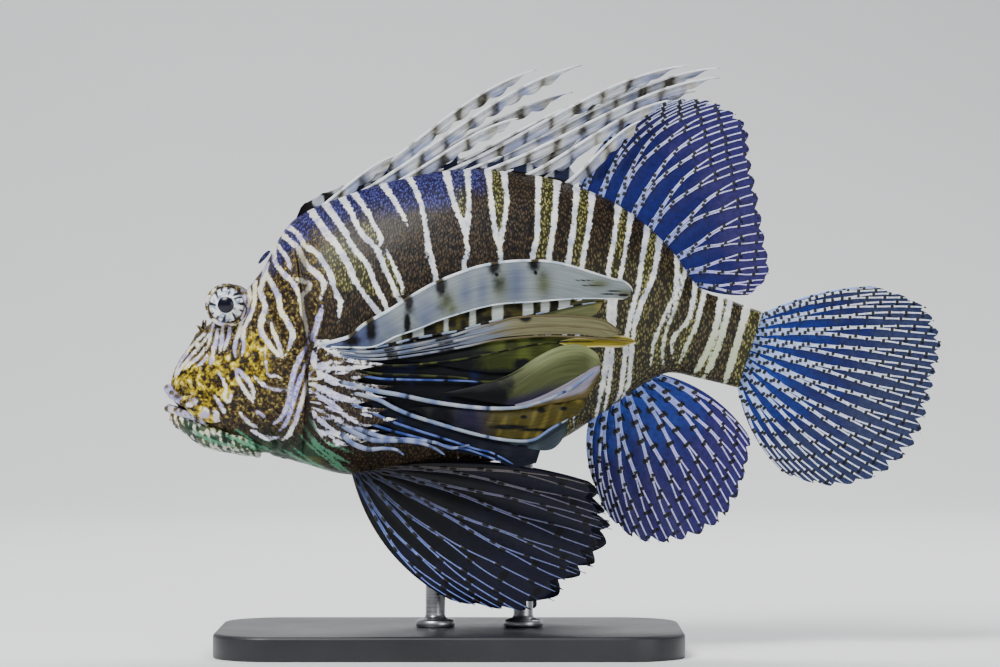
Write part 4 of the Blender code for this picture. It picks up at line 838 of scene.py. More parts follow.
def charcoal_lacquer():
    """Sprayed satin lacquer on board: near black with a faint orange-peel ripple."""
    material, tree, shader, place, _ = new_material("satin_charcoal_lacquer")
    peel = add(tree, "TexNoise", {"Vector": place, "Scale": 900.0, "Detail": 2.0})
    cloud = add(tree, "TexNoise", {"Vector": place, "Scale": 25.0, "Detail": 4.0})
    tone = add(tree, "ValToRGB", {"Fac": cloud}, [(0.35, "#1f2023"), (0.65, "#292a2e")])
    rough = add(tree, "MapRange", {0: cloud, 1: 0.3, 2: 0.7, 3: 0.36, 4: 0.48})
    bump = add(tree, "Bump", {"Height": peel, "Strength": 0.12, "Distance": 0.0003})
    fill(tree, shader, {"Base Color": tone, "Roughness": rough, "Normal": bump})
    return material


def brushed_steel():
    """Stainless steel brushed round the rod: fine rings drawn out across its axis."""
    material, tree, shader, place, _ = new_material("brushed_stainless_steel")
    drawn = add(tree, "Mapping", {"Vector": place, "Scale": (60.0, 60.0, 4200.0)})
    lines = add(tree, "TexNoise", {"Vector": drawn, "Scale": 1.0, "Detail": 3.0})
    tone = add(tree, "ValToRGB", {"Fac": lines}, [(0.3, "#a4a5a8"), (0.7, "#c6c7ca")])
    rough = add(tree, "MapRange", {0: lines, 1: 0.3, 2: 0.7, 3: 0.24, 4: 0.42})
    bump = add(tree, "Bump", {"Height": lines, "Strength": 0.15, "Distance": 0.0001})
    fill(tree, shader, {"Base Color": tone, "Roughness": rough, "Metallic": 1.0, "Normal": bump})
    return material


def studio_paper():
    """Matt studio paper: pale warm grey, almost without gloss."""
    material, tree, shader, place, _ = new_material("matt_studio_paper")
    cloud = add(tree, "TexNoise", {"Vector": place, "Scale": 2.0, "Detail": 3.0})
    tone = add(tree, "ValToRGB", {"Fac": cloud}, [(0.3, "#f0f1f2"), (0.7, "#f5f6f7")])
    fill(tree, shader, {"Base Color": tone, "Roughness": 0.9})
    return material


def fan_point(fin, u, v):
    """A fin's middle surface: from base(v) to margin(v), bowed by a parabola in u in side view and rippled sideways
    by a sine in v. u below 0 lies under the skin."""
    base, margin = fin["base"], fin["margin"]
    root = along(base, v * (len(base) - 1))
    tip = along(margin, v * (len(margin) - 1))
    chord = tip - root
    normal = np.stack([-chord[..., 2], 0 * v, chord[..., 0]], -1)
    bow = np.interp(v, np.linspace(0, 1, len(fin["bow"])), fin["bow"])
    curve = 4 * u * (1 - u)
    points = root + chord * u[..., None] + normal * (bow * curve)[..., None]
    size, count, phase = fin["wave"]
    ripple = size * np.sin(2 * math.pi * count * v + phase) * np.clip(u, 0, 1) ** 1.5
    points[..., 1] += fin.get("belly", 0.0) * curve + ripple
    return points


def fan_spacing(fin, u):
    """Millimetres between neighbouring rays, from the base line's length to the margin's."""
    near, far = (run_length(along(fin[k], np.linspace(0, len(fin[k]) - 1, 60)))[-1] for k in ("base", "margin"))
    return (near + (far - near) * np.clip(u, 0, 1)) / fin["rays"]


def fan_halves(fin, u, split):
    """How far a ray's two halves stand from its line, and each half's two branches from the half, as shares of the
    spacing: side by side at first, then parting by smooth steps at the splits."""
    gap = fan_spacing(fin, u)
    half, branch = PAIR_MM / gap, BRANCH_MM / gap
    part = half + (0.25 - half) * ease((u - split) / 0.4)
    return part, branch + (0.12 - branch) * ease((u - split - 0.35) / 0.3)


def make_fan(name, fin, membrane, bone, node):
    """A fin: its thin membrane, notched between the rays, and every ray as four fine branches that stand proud of
    both faces. The membrane's columns follow the branches, so that its spots lie on them. Neighbouring branches
    carry their spots side by side up to the share "paired" of the fin's height, and in turns beyond it."""
    rays = fin["rays"]
    for key in ("base", "margin"):
        fin[key] = side_view(fin[key]) if len(fin[key][0]) == 2 else np.array(fin[key], float)
    splits = 0.06 + 0.22 * RANDOM.random(rays)
    phase = 0.3 * RANDOM.random(rays)
    notch = NOTCH * (0.6 + 0.8 * RANDOM.random(rays + 1))
    share = np.linspace(0, 1, FIN_ROWS)
    steps = np.linspace(0, 8, 17)
    columns = []
    for ray in range(rays):
        part, branch = fan_halves(fin, share, splits[ray])
        marks = [-0.5 + 0 * part, -part - branch, -part, branch - part, 0 * part, part - branch, part,
                 part + branch, 0.5 + 0 * part]
        columns.append((ray + 0.5 + along(marks, steps if ray == rays - 1 else steps[:-1]).T) / rays)
    v = np.clip(np.concatenate(columns, axis=1), 0, 1)
    place = v * rays
    ray = np.minimum(place.astype(int), rays - 1)
    part = np.stack([fan_halves(fin, share, split)[0] for split in splits], -1)
    part = np.take_along_axis(part, ray, axis=1)
    off = place - ray - 0.5
    across = np.abs(np.abs(off) - part)
    depth = np.interp(place[-1], np.arange(rays + 1), notch)
    reach = 0.985 - depth * (across[-1] / 0.25) ** 1.5
    root, tip = (along(fin[key], v[-1] * (len(fin[key]) - 1)) for key in ("base", "margin"))
    length = np.linalg.norm(tip - root, axis=-1)
    start = -ROOT_DEPTH / length
    u = start + (reach - start) * share[:, None]
    thickness = fin["thickness"] * (1 - 0.5 * share[:, None]) + 0 * v
    far = np.where(off > 0, SPOT_SHIFT, 0.0) + phase[ray]
    sheet = shell(fan_pleats(fin, u, v), thickness, u=np.clip(u, 0, 1), along=u * length, ray=far,
                  across=across * fan_spacing(fin, u))
    build(name + "_membrane", [sheet], membrane, "fin", node)
    tubes = []
    w = np.linspace(0, 1, 90)
    for ray, first, second in itertools.product(range(rays), (-1, 1), (-1, 1)):
        u = -0.02 + (1.015 - 0.03 * RANDOM.random()) * w
        part, branch = fan_halves(fin, u, splits[ray])
        v = (ray + 0.5 + first * part + second * branch) / rays
        radii = fin["bone"] * (1 - 0.35 * w) * blunt(w, 0.04, 0.2)
        far = u * np.interp(v[-1] * rays, place[-1], length)
        if second > 0:
            far = far + 0.3 * fin["pitch"] * ease((u - fin.get("paired", -1.0)) / 0.4)
        step = phase[ray] + (SPOT_SHIFT if first > 0 else 0.0)
        wave = off_middle(far / fin["pitch"] + step)
        radii = radii * (1 + 1.2 * np.sqrt(np.clip(1 - (wave / fin["knob"]) ** 2, 0, 1)))
        tubes.append(tube(fan_pleats(fin, u, v), radii, 6, along=far, ray=step, u=w, v=v[-1]))
    edge = fan_point(fin, -0.02 + 0.99 * w, 0.004 + 0 * w)
    tubes.append(tube(edge, fin["edge"] * (1 - 0.6 * w), 8, along=run_length(edge), ray=phase[0]))
    build(name + "_rays", tubes, bone, "fin")


def fin_normal(fin, u, v):
    """The unit normal of a fin's middle surface, from its differences in u and v."""
    step = 1e-3
    across = fan_point(fin, u, v + step) - fan_point(fin, u, v - step)
    run = fan_point(fin, u + step, v) - fan_point(fin, u - step, v)
    return unit(np.cross(run, across))


def fan_pleats(fin, u, v):
    """A fin's middle surface moved along its normals by a cosine across the rays, which makes its pleats."""
    pleat = PLEAT * np.cos(2 * math.pi * fin["rays"] * v) * ease(u / 0.2)
    return fan_point(fin, u, v) + fin_normal(fin, u, v) * pleat[..., None]


def bezier(a, b, c, d, u):
    """The cubic curve from a to d that leaves towards b and arrives from c."""
    u = u[:, None]
    return (1 - u) ** 3 * a + 3 * u * (1 - u) ** 2 * b + 3 * u * u * (1 - u) * c + u**3 * d


def spine_path(station, tip, rows):
    """A dorsal spine's line: from under the skin of the back, low at first, then up and over at the tip."""
    x, z = along(BACK, np.array(station))
    root = np.array([x, 0, z - ROOT_DEPTH])
    tip = np.array([tip[0], tip[2], tip[1]])
    chord = tip - root
    length, angle = np.linalg.norm(chord), math.atan2(chord[2], chord[0])
    first = length * 0.33 * np.array([math.cos(angle - 0.08), 0, math.sin(angle - 0.08)])
    last = length * 0.3 * np.array([math.cos(angle - 0.32), 0, math.sin(angle - 0.32)])
    end = tip - last
    first[1] = tip[1] * 0.2
    end[1] = tip[1] * 0.75
    return bezier(root, root + first, end, tip, np.linspace(0, 1, rows))


def ribbon(path, width, columns, wave, phase):
    """A strip behind a path: each point moves from the path square to it, rearwards, by a share of the width, and
    sideways by a sine along the path."""
    run = unit(np.gradient(path, axis=0))
    u = np.linspace(0, 1, len(path))
    behind = np.stack([run[:, 2], 0 * u, -run[:, 0]], -1)
    share = np.linspace(0, 1, columns)
    points = path[:, None] + behind[:, None] * (width[:, None] * share)[..., None]
    points[..., 1] += wave * np.sin(9 * u + phase)[:, None] * share**1.5
    return points, share


def vane_width(u, length, phase):
    """The width in mm of a spine's vane: narrow at the root, full from a third on, gone just before the tip, its
    outer half scalloped by the size of a sine once every 9 mm."""
    full = SPINE_VANE * (0.4 + 0.6 * ease(u / 0.3)) * (1 - ease((u - 0.84) / 0.15))
    scallop = 0.74 + 0.32 * np.abs(np.sin(math.pi * (length / 9 + phase)))
    return np.maximum(full * (1 + (scallop - 1) * ease((u - 0.4) / 0.2)), 0.12)


def run_length(path):
    """Distance along a path from its first point, in mm."""
    return np.concatenate([[0], np.cumsum(np.linalg.norm(np.diff(path, axis=0), axis=1))])


def stand_out(x, z):
    """How far the pectoral fin stands from the fish's middle plane: out of the flank along a quadratic curve
    towards its free end, and further lower down."""
    root = np.interp(z, ROOT_LEVELS, FIN_ROOTS)
    share = np.clip((x - FIN_ROOT_X) / FIN_REACH, 0, 1.05)
    low = 13 * np.clip((147 - z) / 66, 0, 1)
    return root * (1 - share) ** 2 + 2 * share * (1 - share) * (45 + 1.25 * low) + (33 + low) * share**2


def even_line(path, count):
    """A smooth curve through a line's places, at equal steps of its length."""
    line = along(path, np.linspace(0, len(path) - 1, 40 * len(path)))
    length = run_length(line)
    steps = np.linspace(0, length[-1], count)
    return np.stack([np.interp(steps, length, column) for column in line.T], -1)


def egg(centre, front, up, across, rows, columns):
    """An ellipsoid from three half axes: circles of the sine of the latitude carried from the rear pole to the
    front pole."""
    latitude = np.linspace(0.02, math.pi - 0.02, rows)[:, None, None]
    turn = circle(columns)[:, None]
    front, up, across, centre = (np.asarray(v, float) for v in (front, up, across, centre))
    ring = np.cos(turn) * up + np.sin(turn) * across
    return Patch(centre - np.cos(latitude) * front + np.sin(latitude) * ring)


def paint(points):
    """Each point's share of the skin's colours by its place in side view: signed distances to the pale lines, and
    soft patches for the rest."""
    x, z = points[..., 0], points[..., 2]
    grain = lumps(points, 7.0)
    knob = lumps(points, KNOB_MM)
    cheek = sum(blob(points, *spot) for spot in CHEEK_SPOTS) + 0.6 * blob(points, -94, 108, 8, 8)
    wash = 0.45 * ease((x - 26) / 30) * ease((172 - z) / 24) * (1 - 0.6 * ease((x - 78) / 16))
    inner = ease(line_gap(points, BACK) / 9) * ease((x + 48) / 12) * ease((110 - x) / 20)
    gill = 0.85 * ease((3.4 - line_gap(points, GILL_LINE) + grain) / 2.4)
    return {
        "white": field(points, WHITE_LINES) + 0.28 * lumps(points, 2.6) + 0.1 + 0.42 * inner,
        "green": field(points, GREEN_LINES) + 0.35 * lumps(points, 2.4) + 0.1,
        "olive": np.maximum(ease(0.5 - (field(points, OLIVE_BANDS) - 0.7) / 1.6 + 0.35 * grain), wash),
        "violet": np.clip(gill + 0.7 * blob(points, -47, 102, 13, 13) + 0.5 * blob(points, -92, 129, 10, 6), 0, 1),
        "face": ease((1.15 * cheek + 0.3 * grain - 0.4) / 0.35),
        "knob": 0.5 + 0.5 * knob,
        "gold": ease((-46 - x + 9 * grain) / 12) * ease((z - 88) / 10),
        "blue": 0.85 * ease((z - np.interp(x, *BLUE_LEVEL) + 4 + 5 * grain) / 9) * ease((18 - x) / 8),
        "throat": ease((92 - z + 6 * grain - np.clip(x + 60, 0, None) * 0.9) / 10) * ease((x + 108) / 30),
        "pale": ease((x - 55) / 50) * ease((150 - z) / 26),
    }


def raise_orbit(points, side):
    """Pushes the skin out along rays from inside the head to a sphere, blended by a smooth maximum, and back in
    where the eyeball shows."""
    mirror = np.array((1.0, side, 1.0))
    core, centre = ORBIT_CORE * mirror, ORBIT * mirror
    ray = points - core
    far = np.linalg.norm(ray, axis=-1)
    ray /= np.maximum(far, 1e-9)[..., None]
    towards = ray @ (centre - core)
    sphere = towards + np.sqrt(np.maximum(towards**2 - (centre - core) @ (centre - core) + ORBIT_RADIUS**2, 0))
    share = np.clip(0.5 + 0.5 * (sphere - far) / ORBIT_BLEND, 0, 1)
    reach = far + (sphere - far) * share + ORBIT_BLEND * share * (1 - share)
    moved = core + ray * reach[..., None]
    ring = np.hypot(moved[..., 0] - EYE[0], moved[..., 2] - EYE[2])
    reach -= 2.4 * (1 - ease((ring - 6.2) / 1.1)) * (moved[..., 1] * side > ORBIT[1])
    fade = ease((points[..., 1] * side + 1) / 4) * ease((26 - far) / 6)
    return core + ray * (far + (reach - far) * fade)[..., None]


def relief(points):
    """How far the skin stands out, in mm: the cheek ridge as a Gaussian across its line, knobs of lattice noise on
    the face and faint ripples elsewhere."""
    ridge = np.exp(-((line_gap(points, CHEEK_RIDGE, 12.0) / 2.1) ** 2))
    face = ease((-58 - points[..., 0]) / 14) * ease((158 - points[..., 2]) / 14)
    knobs = lumps(points, KNOB_MM)
    stripes = ease(0.6 - field(points, WHITE_LINES) / 0.8)
    rough = 0.55 * knobs * (1 - stripes) + 0.4 * stripes + 0.3 * lumps(points, 5)
    return 1.7 * ridge + face * rough + 1.1 * blob(points, -103, 129, 4, 4)


def head_trim(side):
    """Lids, the upper jaw's plate, points and flaps of skin for one side of the head."""
    mirror = np.array((1.0, side, 1.0))
    turn = np.linspace(0, 2 * math.pi + 0.2, 76)
    lid = np.stack([EYE[0] + LID_RING * np.cos(turn), side * (LID_OUT + 0.35 * np.sin(3 * turn)),
                    EYE[2] + LID_RING * np.sin(turn)], -1)
    length, height, depth = JAW_PLATE_SIZE
    lean = np.array((math.cos(JAW_PLATE_TILT), 0, math.sin(JAW_PLATE_TILT)))
    plate = egg(JAW_PLATE * mirror, length * lean, height * np.array((-lean[2], 0, lean[0])), (0, -depth, 0), 44, 48)
    plate.points = raised(plate.points, 0.8 * np.maximum(lumps(plate.points, 1.9), -0.2))
    made = [tube(lid, LID_RADIUS, 12), plate]
    for (x, z), (x2, z2), radius in HEAD_POINTS:
        line = np.linspace((x, flank(x, z) - 1.2, z), (x2, flank(x2, z2) + 2.2, z2), 14) * mirror
        line[:, 2] += 0.6 * np.sin(np.linspace(0, math.pi, 14))
        made.append(tube(line, radius * (1.15 - np.linspace(0, 1, 14) ** 1.5), 12))
    for (x, z), (dx, dz), width in SKIN_FLAPS:
        u = np.linspace(0, 1, 20)[:, None]
        start = np.array((x, flank(x, z) - 0.6, z))
        line = (start + u * (dx, 2.4, dz) + u**2 * (0, 0.8, -0.2 * abs(dx))) * mirror
        made.append(tube(line, width * np.sqrt(np.sin(0.25 + 2.8 * u[:, 0])), 12, flat=0.3))
    x, z = NOSTRIL
    nostril = np.linspace((x, flank(x, z) - 0.6, z), (x - 1.5, flank(x, z) + 1.6, z + 1.2), 8)
    made.append(tube(nostril * mirror, np.linspace(1.6, 1.2, 8), 16))
    for patch in made:
        patch.values = paint(patch.points)
    made[0].values["white"] = 0.45 + 1.3 * lumps(made[0].points, 3.0)
    made[1].values["white"] = 0.3 + 1.1 * lumps(made[1].points, 2.2)
    made[1].values["face"] = np.ones(plate.points.shape[:2])
    return made


def make_skin(colours):
    """Head, body and tail stalk as one skin, with the trim of the head."""
    station = np.concatenate([np.linspace(0, 5.93, 150), np.linspace(5.95, 6.33, 26), np.linspace(6.36, 13, 150),
                              np.linspace(13.03, TAIL_END, 40)])[:, None]
    turn = circle(210)[None, :]
    points = body(station, turn)
    for side in SIDES:
        points = raise_orbit(points, side)
    points = raised(points, relief(points))
    values = paint(points)
    # Painted shade through deep: the head's underside at the mouth's gap, and the crease just behind the gill cover's
    # edge.
    below = ease((0.5 - np.abs(turn - math.pi)) / 0.25) * ease((4.4 - station) / 0.6)
    gill = ease((0.16 - np.abs(station - gill_edge(turn) - 0.1)) / 0.1)
    gill = gill * ease((1.2 - np.abs(np.cos(turn)) * 1.4) / 0.3)
    values["deep"] = np.maximum(below, 0.75 * gill)
    patches = [Patch(points, **values)]
    half = np.array(UPPER_LIP, float)
    line = along(np.concatenate([half[:0:-1], half * (1, -1, 1)]), np.linspace(0, 8, 90))
    lip = tube(line, 1.9 + 0.25 * np.cos(np.linspace(-math.pi, math.pi, 90)), 20)
    lip.points = raised(lip.points, 0.35 * lumps(lip.points, 2.4))
    lip.values = paint(lip.points)
    lip.values["white"] = -0.1 + 0.9 * lumps(lip.points, 2.6)
    lip.values["gold"] = np.ones(lip.points.shape[:2])
    lip.values["violet"] = 0.75 * lip.values["gold"]
    patches.append(lip)
    for side in SIDES:
        patches += head_trim(side)
    build("skin", patches, fish_skin(colours), "skin", "head", "trunk", "tail_stalk")


def make_jaw(colours):
    """The lower jaw: boat-shaped rings drawn together by an ellipse at the front, and its lip."""
    share = np.linspace(0, 1, 90)[:, None]
    ring = circle(96)[None, :]
    place = 4 * share + 0 * ring
    top, chin, half = along(JAW_TOP, place), along(JAW_CHIN, place), along(JAW_HALF, place)[..., 0]
    depth = (1 - np.cos(ring)) / 2 + 0 * place
    middle = top + (chin - top) * depth[..., None]
    out = half * np.abs(np.sin(ring)) ** 0.6
    points = np.stack([middle[..., 0], -np.sign(np.sin(ring)) * out, middle[..., 1]], -1)
    centre = points.mean(axis=1, keepdims=True)
    close = np.sqrt(1 - (1 - np.clip((share + 0.003) / 0.05, 0, 1)) ** 2)
    points = centre + (points - centre) * close[..., None]
    knobs = np.maximum(lumps(points, 2.2), 0) ** 1.5 + 0.3 * lumps(points, 5)
    points = raised(points, 0.7 * knobs)
    jaw = Patch(points, **paint(points))
    x, z = points[..., 0], points[..., 2]
    stripes = 0.35 * np.sin(2.6 * x + 0.8 * z + 1.5 * lumps(points, 6.0))
    jaw.values["white"] = np.minimum(jaw.values["white"], 0.25 + 0.9 * lumps(points, 1.8) + stripes)
    jaw.values["throat"] = 0.9 * ease((x + 113) / 6) * ease((99 - z) / 3)
    jaw.values["pale"] = 0.8 * ease((x + 114) / 10)
    # Painted shade on the jaw's top, in the mouth's gap.
    jaw.values["deep"] = ease((0.55 - np.abs((ring + math.pi) % (2 * math.pi) - math.pi)) / 0.3) + 0 * place
    jaw.values["gold"] = ease((z - 88) / 5)
    u = np.linspace(0, 2.3, 60)
    edge, half = along(JAW_TOP, u), along(JAW_HALF, u)[:, 0]
    side = np.stack([edge[:, 0] + 0.2, half - 1.3, edge[:, 1] - 0.9], -1)
    line = np.concatenate([side[:0:-1], side * (1, -1, 1)])
    lip = tube(along(line, np.linspace(0, len(line) - 1, 110)), 1.6, 16)
    lip.points = raised(lip.points, 0.3 * lumps(lip.points, 2.2))
    lip.values = paint(lip.points)
    lip.values["white"] = 0.05 + 0.9 * lumps(lip.points, 2.2)
    lip.values["violet"] = np.full(lip.points.shape[:2], 0.5)
    build("lower_jaw", [jaw, lip], fish_skin(colours), "skin", "jaw")


def make_eyes(sizes):
    """Each eyeball as a sphere with the cornea's rise, marked with the distance and turn from its axis."""
    radius = sizes.eye / MM
    for side, word in SIDES.items():
        ball = egg(EYE * (1, side, 1), (0, side * radius, 0), (0, 0, radius), (side * radius, 0, 0), 90, 96)
        off = np.hypot(ball.points[..., 0] - EYE[0], ball.points[..., 2] - EYE[2])
        front = ease(ball.points[..., 1] * side - EYE[1])
        ball.points[..., 1] += side * CORNEA_RISE * np.exp(-((off / 3.8) ** 4)) * front
        turn = np.arctan2(ball.points[..., 2] - EYE[2], ball.points[..., 0] - EYE[0])
        bars = np.sin(11 * turn + 1.5 * np.sin(3 * turn + 1)) + 0.7 * np.sin(17 * turn + off) + 0.3 * off - 1.95
        bars = ease(bars / 0.5) * ease((off - 3.7) / 0.4)
        ball.values = {"off": off, "dark": bars}
        build(f"eye_{word}_ball", [ball], eye_gloss(sizes.pupil / MM), "eye", "eye_" + word)


def make_spines():
    """The dorsal spines: each a tapered bone with a scalloped vane behind it, and the low web between them."""
    stations = np.linspace(FIRST_SPINE, LAST_SPINE, len(SPINE_TIPS))
    phase = RANDOM.random(len(SPINE_TIPS))
    bones, vanes = [], []
    for number, (station, tip) in enumerate(zip(stations, SPINE_TIPS)):
        path = spine_path(station, tip, 130)
        length = run_length(path)
        u = length / length[-1]
        fade = ease((length[-1] - length - 12) / 8)
        wave = off_middle(length / BAR_PITCH + phase[number])
        radii = (0.8 - 0.45 * u) * blunt(u)
        marks = {"dark": 0.5 * ease(0.5 + (BAR_SHARE - wave) / 0.2) * fade, "warm": 0.0, "cool": 0.0}
        bones.append(tube(path, radii, 10, along=length, across=0.0, **marks))
        width = vane_width(u, length, phase[number])
        points, share = ribbon(path, width, 12, wave=0.3, phase=number)
        across = width[:, None] * share
        slant = off_middle(length[:, None] / BAR_PITCH + phase[number] + 0.05 * across)
        wide = BAR_SHARE + 0.09 * lumps(points, 2.8) + 0.12 * lumps(points, 9.0) - slant
        # A soft dark band beside the bone is painted shade, as in a groove between bone and vane.
        groove_shade = ease((0.9 - np.abs(across - 1.25)) / 0.5) * 0.35
        marks = {"dark": np.maximum(0.68 * ease(0.5 + wide / 0.3) * fade[:, None], groove_shade),
                 "warm": 0.5 * ease((wide + 0.14) / 0.12),
                 "cool": 0.6 * ease(1.3 * lumps(points, 5.0) * (0.3 + share) + 0.3 + 0.35 * (share - 0.5))}
        vanes.append(shell(points, VANE_MM, along=length[:, None], across=across, **marks))
    station = np.linspace(FIRST_SPINE - 0.1, LAST_SPINE + 0.12, 300)
    x, z = along(BACK, station).T
    between = (station - FIRST_SPINE) / (LAST_SPINE - FIRST_SPINE) * (len(SPINE_TIPS) - 1)
    share = np.linspace(0, 1, 12)[:, None]
    first = ease((2.8 - between) / 1.2)
    top = 3.0 + 2.4 * first + 3.4 * (1 - np.abs(np.sin(math.pi * between)) ** 0.7) * (1 - 0.8 * first)
    web = np.stack([x + 3.4 * share, 0.3 * np.sin(2 * math.pi * between) * share,
                    z - ROOT_DEPTH + (ROOT_DEPTH + top) * share], -1)
    rise = share * (top + ROOT_DEPTH)
    streaks = off_middle(between + 0.35 * share)
    blotch = ease(0.5 + 2.2 * lumps(web, 4.5))
    marks = {"dark": ease((3.6 - rise) / 1.4) * (1 - first) + 0.9 * first * blotch,
             "warm": np.maximum(ease((0.16 - streaks) / 0.06), first), "cool": 0.0}
    web = shell(web, 0.9 - 0.5 * share, along=run_length(np.stack([x, z], -1))[None, :], across=rise, **marks)
    skin = vane_skin("dorsal_vane_skin", ("#b0b4bc", "#8a8462", "#52649a", "#1c170d"), 0.45)
    build("dorsal_spine_vanes", vanes, skin, "spine", "fin_dorsal_spines")
    bone = vane_skin("dorsal_spine_bone", ("#e6e9ee", "#dcdcd2", "#c3cce2", "#57492a"), 0.1)
    build("dorsal_spine_bones", bones, bone, "spine")
    # The web's dark navy is painted shadow between the spines; it darkens further at its foot.
    skin = vane_skin("dorsal_web_skin", ("#161c34", "#9da1aa", "#22305c", "#050406"), 0.3)
    build("dorsal_spine_web", [web], skin, "spine")


def leaf_marks(kind, points, across, width):
    """The warm, cool and dark shares of a leaf's skin by its place in side view: soft spots, squares and fades."""
    x = points[..., 0]
    grain = lumps(points, 5.0)
    warm, cool, dark = 0 * x, 0 * x, 0 * x

    def spots(table, strength=1.0):
        return strength * np.max([blob(points, *spot) for spot in table], axis=0)

    if kind == "top":
        dark = spots([(-31.1, 131.6, 2.8, 6), (-15.9, 142.6, 2.2, 6), (-3.1, 149, 2.8, 5), (18.1, 157, 3, 4.5),
                      (34.1, 158, 2.8, 4), (-39, 127.2, 4.5, 3), (-16.5, 134, 1.8, 7), (46, 158.5, 2, 1.6)], 0.95)
        dark = np.maximum(dark, 0.6 * spots([(-31.5, 127, 4.5, 7), (-15.5, 136, 4, 9), (-1.5, 143, 4, 8),
                                             (19.5, 151, 3.4, 7), (36.5, 152, 3.4, 7)]) * (0.8 + 0.5 * grain))
        dark = np.maximum(dark, spots([(19.1, 153.7, 0.8, 0.8), (34.7, 154.4, 0.8, 0.8), (-2.3, 147, 0.8, 0.8),
                                       (70, 145.6, 2.2, 0.5), (66, 147.2, 3, 0.3), (64, 146, 4, 0.25),
                                       (57, 149.4, 5, 0.2), (54, 151.4, 4, 0.2)], 1.4))
        warm = spots([(-0.7, 142.6, 3.4, 5), (21, 149.4, 3.4, 6), (38, 149.8, 3.4, 6), (1.3, 140.2, 2.4, 3),
                      (70.5, 146.4, 4, 1.6), (60, 150, 5, 2)], 0.9)
        cool = spots([(6.5, 147.4, 3, 7), (13.7, 147.2, 2.6, 7), (27, 150.4, 3.6, 8), (-9.5, 139.6, 4.5, 8),
                      (-25, 132, 5.5, 6), (-42, 126, 6, 3)], 0.6) + 0.2 * grain
        cool = np.maximum(cool, 0.85 * ease((-14 - x + 6 * grain) / 18))
    elif kind == "squares":
        dark = np.max([ease((half - np.abs(x - place)) / 0.9 + 0.5) for place, half in SQUARES], axis=0)
        warm = dark
        dark = dark * (0.66 + 0.5 * lumps(points, 2.0))
    elif kind == "grey":
        warm = ease((x - 14) / 14)
        lines = np.sin(math.pi * across * np.interp(x, (-40, 20), (2.2, 1.1)) + 0.7)
        dark = spots([(-6.8, 129.4, 2.4, 2.4), (4.8, 132.4, 2.6, 2.4), (16.4, 135.2, 2.4, 2.2),
                      (30.6, 136.6, 2.6, 2)], 1.2) + ease((16 - x) / 20) * ease(lines + 0.2)
        cool = ease((24 - x) / 30) * ease((0.6 - np.abs(lines)) / 0.5)
    elif kind == "olive":
        dark = np.maximum(ease((24 - x) / 24) * 1.1, spots([(29.7, 118, 4.2, 2.6), (14, 122.5, 7, 0.5)], 1.2))
        dark = np.maximum(dark, 0.8 * ease((across / width - 0.7) / 0.3) * ease((46 - x) / 14))
        warm = ease(grain + 0.4) * ease((x - 12) / 10)
    elif kind == "lobe":
        dark = ease((31 - x + 6 * grain) / 16) * 1.15
        # The pale warm band along the lobe's upper part and at its tip is a painted highlight.
        warm = ease(1 - 2.2 * across / width) * ease((x - 26) / 12) + 0.5 * ease((x - 54) / 5)
        cool = ease((across / width - 0.6) / 0.3) * ease((50 - x) / 14)
    elif kind == "pleats":
        dark = 0.55 * ease(np.sin(x * 1.9 + across) - 0.5)
        warm = ease((across / width - 0.55) / 0.3)
    elif kind == "ruffle":
        dark = np.maximum(ease((10 - x) / 14), spots([(36.9, 99.6, 1.9, 1.1), (45.7, 100.4, 1.8, 1.0),
                                                     (41.3, 104, 1.6, 0.8), (30, 97, 1.5, 0.8), (24, 93, 9, 1.1),
                                                     (34, 92, 7, 0.7)], 1.1))
        cool = ease((22 - x) / 12)
        warm = ease(0.6 * np.sin(x * 1.1 + 0.5 * across) + grain)
    elif kind in ("web", "lower"):
        cool = 0.8 * ease(0.9 * grain - 0.1) * ease((x + 40) / 30)
        warm = ease(np.sin(across * 2.4 + 0.5) * 2 - 1.4)
    elif kind == "gold":
        warm = ease((np.abs(across / width - 0.5) - 0.3) / 0.15)
    else:
        warm = ease(grain)
    return {"warm": warm, "cool": np.clip(cool, 0, 1), "dark": dark}


